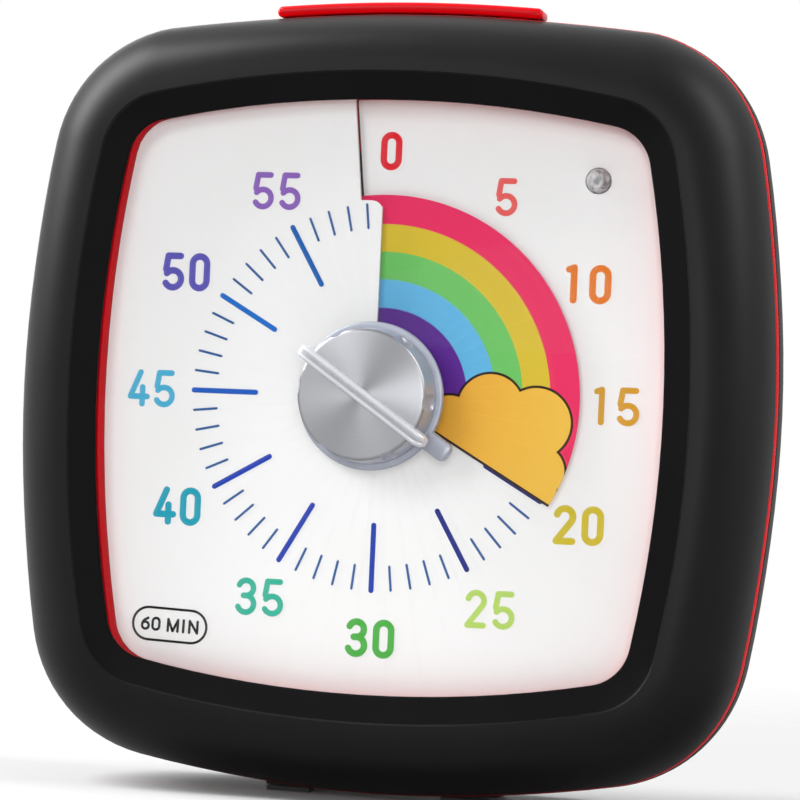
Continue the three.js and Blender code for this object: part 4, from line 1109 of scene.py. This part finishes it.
cap = MARK_HEIGHT / 2
run = MARK_WIDTH / 2 - cap
capsule = arc(run, 0, cap, -90, 90) + arc(-run, 0, cap, 90, 270) + [(run, -cap)]
parts = [plate_ring(on_mark(capsule), MARK_PEN)]
for layer, (kind, along, path) in enumerate(LETTERS):
    if kind == "loop":
        parts.append(plate_ring(on_mark(path + path[:1], along), LETTER_PEN))
    else:
        parts.append(plate_from(stroke(on_mark(path, along), LETTER_PEN), layer * 0.002))
ink_black = printed_ink("black", "#101010")
finished(laid_on_dial(joined(*parts)), "range_mark", "housing", "dial_print", ink_black)

# %% [markdown]
# ## The knob
# The knob is silver ABS with a satin lacquer: a thin flange, a fluted skirt, a flat brushed
# face and a narrow grip fin that carries on as the pointer. Its body is a profile turned with
# Spin, the six flutes are round-nosed cutters taken away with a Boolean, and a small bevel
# softens every edge that a finger meets.

# %% Knob finishes
def silver_lacquer():
    """Satin silver lacquer, brushed in fine rings by turning"""
    material, tree, shader, where = new_material(
        "silver_lacquer", Metallic=0.9, IOR=1.5, Anisotropic=0.8, Anisotropic_Rotation=0.25
    )
    around = add(tree, "ShaderNodeTangent", direction_type="RADIAL", axis="Y")
    tree.links.new(around.outputs["Tangent"], shader.inputs["Tangent"])
    flat = add(tree, "ShaderNodeMapping", {"Vector": where, "Location": (0, 0, -middle_z)})
    parts = add(tree, "ShaderNodeSeparateXYZ", {"Vector": flat.outputs["Vector"]})
    plane = add(tree, "ShaderNodeCombineXYZ", {"X": parts.outputs["X"], "Z": parts.outputs["Z"]})
    radius = add(tree, "ShaderNodeVectorMath", {0: plane.outputs["Vector"]}, operation="LENGTH")
    rings = add(
        tree,
        "ShaderNodeTexNoise",
        {"W": radius.outputs["Value"], "Scale": 1 / (0.25 * MM), "Detail": 2},
        noise_dimensions="1D",
    )
    color = ramp(tree, rings.outputs["Fac"], [(0.3, "#8C8D90"), (0.7, "#8F9094")])
    tree.links.new(color, shader.inputs["Base Color"])
    rough = add(
        tree,
        "ShaderNodeMapRange",
        {"Value": rings.outputs["Fac"], "To Min": 0.35, "To Max": 0.40},
    )
    tree.links.new(rough.outputs["Result"], shader.inputs["Roughness"])
    return material


def frosted_skirt():
    """The skirt's paler, slightly translucent lacquer"""
    material, tree, shader, where = new_material("frosted_silver", Metallic=0.35, IOR=1.5)
    mottled(tree, shader, where, ("#9094A0", "#9DA1AD"), 6, (0.32, 0.40))
    grain(tree, shader, where, 0.5, 0.05, 0.02)
    return material


def pearl_ridge():
    """The fin's bright pearl lacquer"""
    material, tree, shader, where = new_material("pearl_silver", Metallic=0.25, IOR=1.5)
    mottled(tree, shader, where, ("#BFC0C5", "#C9CACF"), 6, (0.30, 0.36))
    return material


silver = silver_lacquer()
frosted = frosted_skirt()
pearl = pearl_ridge()

# %% Knob body
KNOB_BASE = 8.3
KNOB_FACE = 19.0
FLANGE_RADIUS = 17.8
FLANGE_TOP = KNOB_BASE + 1.9
SKIRT_RADIUS = 16.3
FACE_RADIUS = 15.6
FILLET = 0.9
FLUTE_RADIUS = 3.0
FLUTE_DEPTH = 1.0
FLUTES = 6
KNOB_STEPS = 96
POINTER_LEAD = 4.5


def turned_body(profile, steps):
    """A profile of (radius, depth) points spun round the knob's axis"""
    bpy.ops.object.select_all(action="DESELECT")
    bpy.ops.mesh.primitive_circle_add(vertices=len(profile), fill_type="NOTHING")
    obj = bpy.context.object
    for vertex, (radius, depth) in zip(obj.data.vertices, profile):
        vertex.co = place(radius, 0, depth)
    bpy.ops.object.mode_set(mode="EDIT")
    bpy.ops.mesh.select_all(action="DESELECT")
    mesh = bmesh.from_edit_mesh(obj.data)
    for edge in mesh.edges:
        edge.select = not all(abs(v.co.x) < 1e-7 for v in edge.verts)
    bmesh.update_edit_mesh(obj.data)
    bpy.ops.mesh.spin(steps=steps, angle=2 * pi, center=place(0, 0, 0), axis=(0, 1, 0))
    bpy.ops.object.mode_set(mode="OBJECT")
    return tidy_mesh(obj, merge=0.01)


def fillet(cx, depth, radius, start, end, steps=5):
    """Points of a rounded edge of a profile"""
    return arc(cx, depth, radius, start, end, steps)


knob_body = turned_body(
    [(0, KNOB_BASE)]
    + fillet(FLANGE_RADIUS - 0.7, KNOB_BASE + 0.7, 0.7, -90, 0)
    + fillet(FLANGE_RADIUS - 0.5, FLANGE_TOP - 0.5, 0.5, 0, 90)
    + [(SKIRT_RADIUS, FLANGE_TOP)]
    + fillet(FACE_RADIUS - FILLET, KNOB_FACE - FILLET, FILLET, 5, 90)
    + [(0, KNOB_FACE)],
    KNOB_STEPS,
)

# %% Flutes of the knob
def flute_cutter(angle):
    """A round-nosed rod across the skirt, its nose above the flange"""
    middle = (SKIRT_RADIUS + FACE_RADIUS) / 2 + FLUTE_RADIUS - FLUTE_DEPTH
    foot = FLANGE_TOP + 3.6
    x, y = middle * cos(angle), middle * sin(angle)
    nose = arc(0, foot, FLUTE_RADIUS, -90, 0, 8)
    cutter = turned_body(nose + [(FLUTE_RADIUS, KNOB_FACE + 1), (0, KNOB_FACE + 1)], 32)
    cutter.location = Vector((x * MM, 0, y * MM))
    bpy.ops.object.transform_apply(location=True, rotation=False, scale=False)
    return cutter


def cut_with(obj, cutters):
    """Take away several cutters from a piece with one Boolean"""
    cutter = joined(*cutters)
    modify(obj, "BOOLEAN", object=cutter, operation="DIFFERENCE", solver="EXACT")
    bpy.data.objects.remove(cutter)
    return obj


rest = radians(90 - REST_ANGLE - POINTER_LEAD)
cut_with(knob_body, [flute_cutter(rest + (i + 0.5) * 2 * pi / FLUTES) for i in range(FLUTES)])
modify(
    knob_body, "BEVEL", width=0.25 * MM, segments=3, limit_method="ANGLE", angle_limit=radians(35)
)
tidy_mesh(knob_body, 40, outward=False)
for polygon in knob_body.data.polygons:
    depth = (middle_y - polygon.center.y) / MM
    polygon.material_index = int(depth < KNOB_FACE - FILLET)
finished(knob_body, "knob_body", "knob", "silver_plastic", silver, frosted, replaces=["knob"])

# %% [markdown]
# The fin is a bar with a full round along its crest and a shallow groove down its middle. It
# starts as a cylinder with one side for each point of its section, is cut into slices along its
# length, and each ring of points is moved to the section: two round beads with the groove between
# them. Its ends are drawn in and lowered. The pointer is the same kind of bar, lower and flat,
# rooted in the flange.

# %% Grip fin and pointer
FIN_ENDS = (-18.3, 19.5)
FIN_WIDTH = 3.1
FIN_TOP = 22.0
FIN_ROOT = KNOB_FACE - 1.5
POINTER_REACH = 23.8
POINTER_WIDTH = 4.8


def along_rest(obj):
    """Turn a piece drawn along +X to the knob's direction at rest"""
    only(obj)
    bpy.ops.transform.rotate(
        value=rest, orient_axis="Y", center_override=place(0, 0, 0), orient_type="GLOBAL"
    )
    bpy.ops.object.transform_apply(location=True, rotation=True, scale=True)
    return obj


def bar_with_section(x0, x1, section, stations):
    """A bar along X: section gives (across, depth) points, stations (x, width, height) shares"""
    bpy.ops.object.select_all(action="DESELECT")
    bpy.ops.mesh.primitive_cylinder_add(vertices=len(section), end_fill_type="NGON")
    obj = bpy.context.object
    count = len(section)
    base = min(depth for _, depth in section)

    def ring(share):
        along, wide, high = share
        x = x0 + (x1 - x0) * along
        return [place(x, across * wide, base + (depth - base) * high) for across, depth in section]

    for k, point in enumerate(ring(stations[0])):
        obj.data.vertices[2 * k].co = point
    for k, point in enumerate(ring(stations[-1])):
        obj.data.vertices[2 * k + 1].co = point
    bpy.ops.object.mode_set(mode="EDIT")
    mesh = bmesh.from_edit_mesh(obj.data)
    sides = [e for e in mesh.edges if {e.verts[0].index % 2, e.verts[1].index % 2} == {0, 1}]
    mesh.verts.ensure_lookup_table()
    bmesh.ops.subdivide_edges(mesh, edges=sides, cuts=len(stations) - 2)
    bmesh.update_edit_mesh(obj.data)
    bpy.ops.object.mode_set(mode="OBJECT")
    fitted = [ring(s) for s in stations[1:-1]]
    inner = [v for v in obj.data.vertices if v.index >= 2 * count]
    first, last = ring(stations[0]), ring(stations[-1])
    for vertex in inner:
        best = min(
            ((vertex.co - first[k].lerp(last[k], (s + 1) / (len(stations) - 1))).length, s, k)
            for s in range(len(fitted))
            for k in range(count)
        )
        vertex.co = fitted[best[1]][best[2]]
    return tidy_mesh(obj, 40)


w = FIN_WIDTH / 2
bead = w / 2 - 0.12
fin_section = (
    [(-w, FIN_ROOT)]
    + arc(-w + bead, FIN_TOP - bead, bead, 180, 20, 7)
    + [(0, FIN_TOP - 0.75)]
    + arc(w - bead, FIN_TOP - bead, bead, 160, 0, 7)
    + [(w, FIN_ROOT)]
)
ends = [(0, 0.30, 0.55), (0.006, 0.62, 0.72), (0.02, 0.86, 0.86), (0.045, 0.98, 0.95), (0.08, 1, 1)]
fin_stations = ends + [(0.3, 1, 1), (0.5, 1, 1), (0.7, 1, 1)] + [(1 - a, b, c) for a, b, c in ends[::-1]]
fin = along_rest(bar_with_section(*FIN_ENDS, fin_section, fin_stations))
finished(fin, "grip_fin", "knob", "silver_plastic", pearl)

w = POINTER_WIDTH / 2
pointer_section = (
    [(-w, KNOB_BASE)]
    + arc(-w + 0.8, FLANGE_TOP - 0.8, 0.8, 180, 90, 5)
    + arc(w - 0.8, FLANGE_TOP - 0.8, 0.8, 90, 0, 5)
    + [(w, KNOB_BASE)]
)
tip = [(1, 0.35, 0.8), (0.985, 0.68, 0.92), (0.95, 0.90, 1), (0.90, 1, 1)]
pointer_stations = [(0, 1, 1), (0.5, 1, 1)] + tip[::-1]
pointer = along_rest(bar_with_section(8, POINTER_REACH, pointer_section, pointer_stations))
finished(pointer, "pointer", "knob", "silver_plastic", frosted)

# %% [markdown]
# ## The window
# The lens is a flat sheet with a round hole for the knob's shaft. It keeps its imported shape
# and only gets its finish.

# %% Lens and lamp
lens = copy_of("lens")
finished(lens, "window_lens", "housing", "clear_plastic", lens_clear, replaces=["lens"])

lamp_low, lamp_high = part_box("alarm_lamp")
lamp_x = (lamp_low.x + lamp_high.x) / 2 / MM
lamp_y = ((lamp_low.z + lamp_high.z) / 2 - middle_z) / MM
LAMP_RADIUS = 2.9
LAMP_FLANGE = 4.1
LAMP_BACK = (middle_y - lamp_high.y) / MM
LAMP_FRONT = (middle_y - lamp_low.y) / MM
flange_depth = dial_top(lamp_x, lamp_y) - DIAL_THICKNESS - GAP

dome = turned_body(
    [(0, LAMP_BACK), (LAMP_RADIUS, LAMP_BACK), (LAMP_RADIUS, flange_depth - 0.6)]
    + [(LAMP_FLANGE, flange_depth - 0.6), (LAMP_FLANGE, flange_depth), (LAMP_RADIUS, flange_depth)]
    + arc(0, LAMP_FRONT - LAMP_RADIUS, LAMP_RADIUS, 0, 90, 10),
    48,
)
dome.location = Vector((lamp_x * MM, 0, lamp_y * MM))
finished(dome, "lamp_dome", "housing", "clear_plastic", lamp_clear, replaces=["alarm_lamp"])

# %% [markdown]
# Inside the dome sit the lamp's two metal legs. The larger one ends in a small cup that holds
# the chip, and both show as grey shapes through the clear epoxy.

# %% Metal parts in the lamp
cup = turned_body(
    [(0, LAMP_BACK + 0.4), (1.1, LAMP_BACK + 0.4), (1.3, flange_depth + 1.2), (0, flange_depth + 0.7)],
    24,
)
cup.location = Vector(((lamp_x - 0.35) * MM, 0, lamp_y * MM))
bpy.ops.object.transform_apply(location=True, rotation=False, scale=False)
leg = box_piece(
    (lamp_x + 1.1, lamp_y - 0.35, LAMP_BACK + 0.4), (lamp_x + 1.6, lamp_y + 0.35, flange_depth + 1.6)
)
finished(joined(cup, leg), "lamp_legs", "housing", "clear_plastic", zinc_steel)

# %% [markdown]
# ## The carry handle
# The red bar follows the crown of the housing. It starts as a cube cut into slices along its
# length, each slice is raised to the arc of the housing's top, and a wide bevel gives the
# soft moulded edge. Two flat legs run down into the rear shell and end in hooks.

# %% Carry handle
BAR_LENGTH = 67.0
BAR_HEIGHT = 2.7
BAR_GAP = 0.15
BAR_DEPTH = 8.0
BAR_SLICES = 28
HANDLE_DEPTH = SEAM - 5.8
LEG_X = 26.0
LEG_WIDTH = 7.0
LEG_THICKNESS = 3.6
GUIDE_LENGTH = 14.0
LEG_TRAVEL = 26.0

bar = box_piece(
    (-BAR_LENGTH / 2, 0, HANDLE_DEPTH - BAR_DEPTH / 2),
    (BAR_LENGTH / 2, BAR_HEIGHT, HANDLE_DEPTH + BAR_DEPTH / 2),
)
bpy.ops.object.mode_set(mode="EDIT")
bpy.ops.mesh.select_all(action="DESELECT")
mesh = bmesh.from_edit_mesh(bar.data)
for edge in mesh.edges:
    edge.select = abs(edge.verts[0].co.x - edge.verts[1].co.x) > BAR_LENGTH / 2 * MM
bmesh.update_edit_mesh(bar.data)
bpy.ops.mesh.subdivide(number_cuts=BAR_SLICES - 1)
bpy.ops.object.mode_set(mode="OBJECT")
modify(bar, "BEVEL", width=1.2 * MM, segments=5, limit_method="ANGLE", angle_limit=radians(40))
for vertex in bar.data.vertices:
    vertex.co.z += (crown_at(vertex.co.x / MM) + BAR_GAP) * MM
hook_top = crown_at(LEG_X) - GUIDE_LENGTH - GAP - LEG_TRAVEL
parts = [bar]
for side in (-1, 1):
    x = side * LEG_X
    depths = (HANDLE_DEPTH - LEG_THICKNESS / 2, HANDLE_DEPTH + LEG_THICKNESS / 2)
    parts.append(
        box_piece(
            (x - LEG_WIDTH / 2, hook_top - 3.5, depths[0]),
            (x + LEG_WIDTH / 2, crown_at(LEG_X) + BAR_GAP + BAR_HEIGHT / 2, depths[1]),
        )
    )
    parts.append(
        box_piece(
            (x - LEG_WIDTH / 2 - 2, hook_top - 3.5, depths[0]),
            (x + LEG_WIDTH / 2 + 2, hook_top, depths[1]),
        )
    )
handle = settled(tidy_mesh(joined(*parts), 35))
finished(handle, "handle", "handle", "red_plastic", red_abs, replaces=["carry_handle"])

# %% [markdown]
# ## The back
# The rear shell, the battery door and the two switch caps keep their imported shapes. A merged
# copy of each gets a fine bevel, because a moulded edge is never quite sharp and a thin bright
# line along it is what makes it look real. The shell's outer skin is first cut finer and moved
# onto its true curve, as the dial's rim was.

# %% Rear shell, door, caps and feet
def softened(node, width, segments=2, angle=35):
    """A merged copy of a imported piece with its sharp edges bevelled"""
    obj = copy_of(node)
    if node == "rear_shell":
        refined(obj, on_rear_skin, 3)
    modify(
        obj,
        "BEVEL",
        width=width * MM,
        segments=segments,
        limit_method="ANGLE",
        angle_limit=radians(angle),
    )
    only(obj)
    bpy.ops.object.shade_smooth_by_angle(angle=radians(angle))
    return obj


REAR_FACE = -41.4
REAR_TAPER = 17.0
REAR_CORNER = 26.0
rear_drop = widest - REAR_FACE


def rear_outline(share):
    """Half width and corner of the rear shell, from its flat back (0) to its widest line (1)"""
    half = WIDEST_HALF - REAR_TAPER * (1 - share)
    return half, REAR_CORNER + (WIDEST_CORNER - REAR_CORNER) * share


def on_rear_skin(x, y, depth):
    """The place on the rear shell's true skin next to a point on its faceted skin"""
    if depth > rear_rim + 0.05 or max(abs(x), abs(y)) < 40:
        return None
    if depth > widest:
        half, corner, _ = side_at_depth(depth)
        scale = outline_reach(half, corner, x, y)
        near = -0.05 < (scale - 1) * hypot(x, y) < 2 * FACET_DEPTH
        return (x * scale, y * scale, depth) if near else None
    low, high = 0.0, 1.1
    for _ in range(24):
        share = (low + high) / 2
        low, high = (share, high) if outline_reach(*rear_outline(share), x, y) < 1 else (low, share)
    down = (widest - depth) / rear_drop
    size = hypot(share, down)
    if share < 0.001 or not 0.93 < size < 1.01:
        return None
    scale = outline_reach(*rear_outline(share / size), x, y)
    return x * scale, y * scale, widest - rear_drop * down / size


BACK_PIECES = {
    "rear_shell": ("rear_cover", "housing", "black_plastic", rear_black, 0.2),
    "battery_door": ("door", "door", "black_plastic", rear_black, 0.2),
    "volume_slider": ("volume_cap", "volume", "white_plastic", white_acetal, 0.1),
    "alert_slider": ("alert_cap", "alert", "white_plastic", white_acetal, 0.1),
}
for node_name, (name, body, slot, material, width) in BACK_PIECES.items():
    back_piece = softened(node_name, width)
    if node_name == "rear_shell":
        settled(back_piece)
    finished(back_piece, name, body, slot, material, replaces=[node_name])
for node_name in ("foot_front_1", "foot_front_2", "foot_rear_1", "foot_rear_2"):
    pad = softened(node_name, 0.3, 3)
    finished(pad, node_name + "_pad", "housing", "foot_rubber", foot_rubber, replaces=[node_name])

# %% [markdown]
# ## Pieces inside
# The movement, the cells and the circuit are hidden in use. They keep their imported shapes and
# get the finish of their own material, so that they look right when the housing is opened.

# %% Finishes of the inner pieces
FINISH_OF_SLOT = {
    "steel": zinc_steel,
    "brass": turned_brass,
    "copper_wire": copper,
    "white_plastic": white_acetal,
    "board_laminate": board_green,
    "cell_jacket": cell_blue,
    "black_plastic": satin_black,
    "red_plastic": red_abs,
    "silver_plastic": silver,
    "clear_plastic": lens_clear,
    "dial_print": dial_white,
    "disc_film": film,
    "foot_rubber": foot_rubber,
}
for entry in frame["record"]["subparts"]:
    packed = frame["nodes"][entry["node"]]
    packed.data.materials.clear()
    packed.data.materials.append(FINISH_OF_SLOT[entry["material_slot"]])

# %% [markdown]
# ## Studio
# A wide softbox hangs above to the left, in the plane of the dial, so that it lights the black
# bulge and not the window. Two soft lamps in front light the dial, and one behind keeps the back
# from going dark. The floor is a light grey, which the lamps above bring to white, and only
# keeps the timer's shadow.

# %% Floor and backdrop
FLOOR_REACH = 0.55


def pale_floor():
    """White floor that thins out to the white background away from the timer"""
    material, tree, shader, where = new_material("studio_white", Roughness=0.9)
    shader.inputs["Base Color"].default_value = linear("#B6B6B6")
    away = add(tree, "ShaderNodeVectorMath", {0: where}, operation="LENGTH").outputs["Value"]
    fade = add(
        tree,
        "ShaderNodeMapRange",
        {"Value": away, "From Min": 0.10, "From Max": FLOOR_REACH, "To Min": 1.0, "To Max": 0.0},
        interpolation_type="SMOOTHSTEP",
    )
    tree.links.new(fade.outputs["Result"], shader.inputs["Alpha"])
    return material


bpy.ops.mesh.primitive_plane_add(size=2 * FLOOR_REACH, location=(0, 0, 0))
floor = bpy.context.object
floor.name = "floor"
floor.data.materials.append(pale_floor())

world = bpy.data.worlds.new("studio")
bpy.context.scene.world = world
world.use_nodes = True
sky = world.node_tree
background = sky.nodes["Background"]
path = add(sky, "ShaderNodeLightPath")
seen = path.outputs["Is Camera Ray"]
for ray in ("Is Glossy Ray", "Is Transmission Ray"):
    seen = add(
        sky, "ShaderNodeMath", {0: seen, 1: path.outputs[ray]}, operation="MAXIMUM"
    ).outputs["Value"]
level = add(sky, "ShaderNodeMapRange", {"Value": seen, "To Min": 0.15, "To Max": 1.0})
background.inputs["Color"].default_value = (1, 1, 1, 1)
sky.links.new(level.outputs["Result"], background.inputs["Strength"])

# %% Lamps
LAMPS = [
    ("softbox_top_left", (-0.97, -0.06, 0.90), (0.40, 1.10), 36.0),
    ("strip_right", (1.05, -0.02, 0.85), (0.25, 1.00), 13.0),
    ("softbox_front_left", (-0.54, -1.28, 0.67), (0.5, 0.5), 5.0),
    ("softbox_front", (0.35, -1.6, 0.20), (0.5, 0.5), 8.8),
    ("softbox_back", (-0.50, 1.30, 0.45), (0.8, 0.8), 4.0),
]
target = place(0, 0, 0)
for name, where, size, watts in LAMPS:
    bpy.ops.object.light_add(type="AREA", location=where)
    lamp = bpy.context.object
    lamp.name = name
    lamp.data.shape = "RECTANGLE"
    lamp.data.size, lamp.data.size_y = size
    lamp.data.energy = watts
    lamp.rotation_euler = (Vector(where) - target).to_track_quat("Z", "Y").to_euler()
print(len(LAMPS), "lamps")
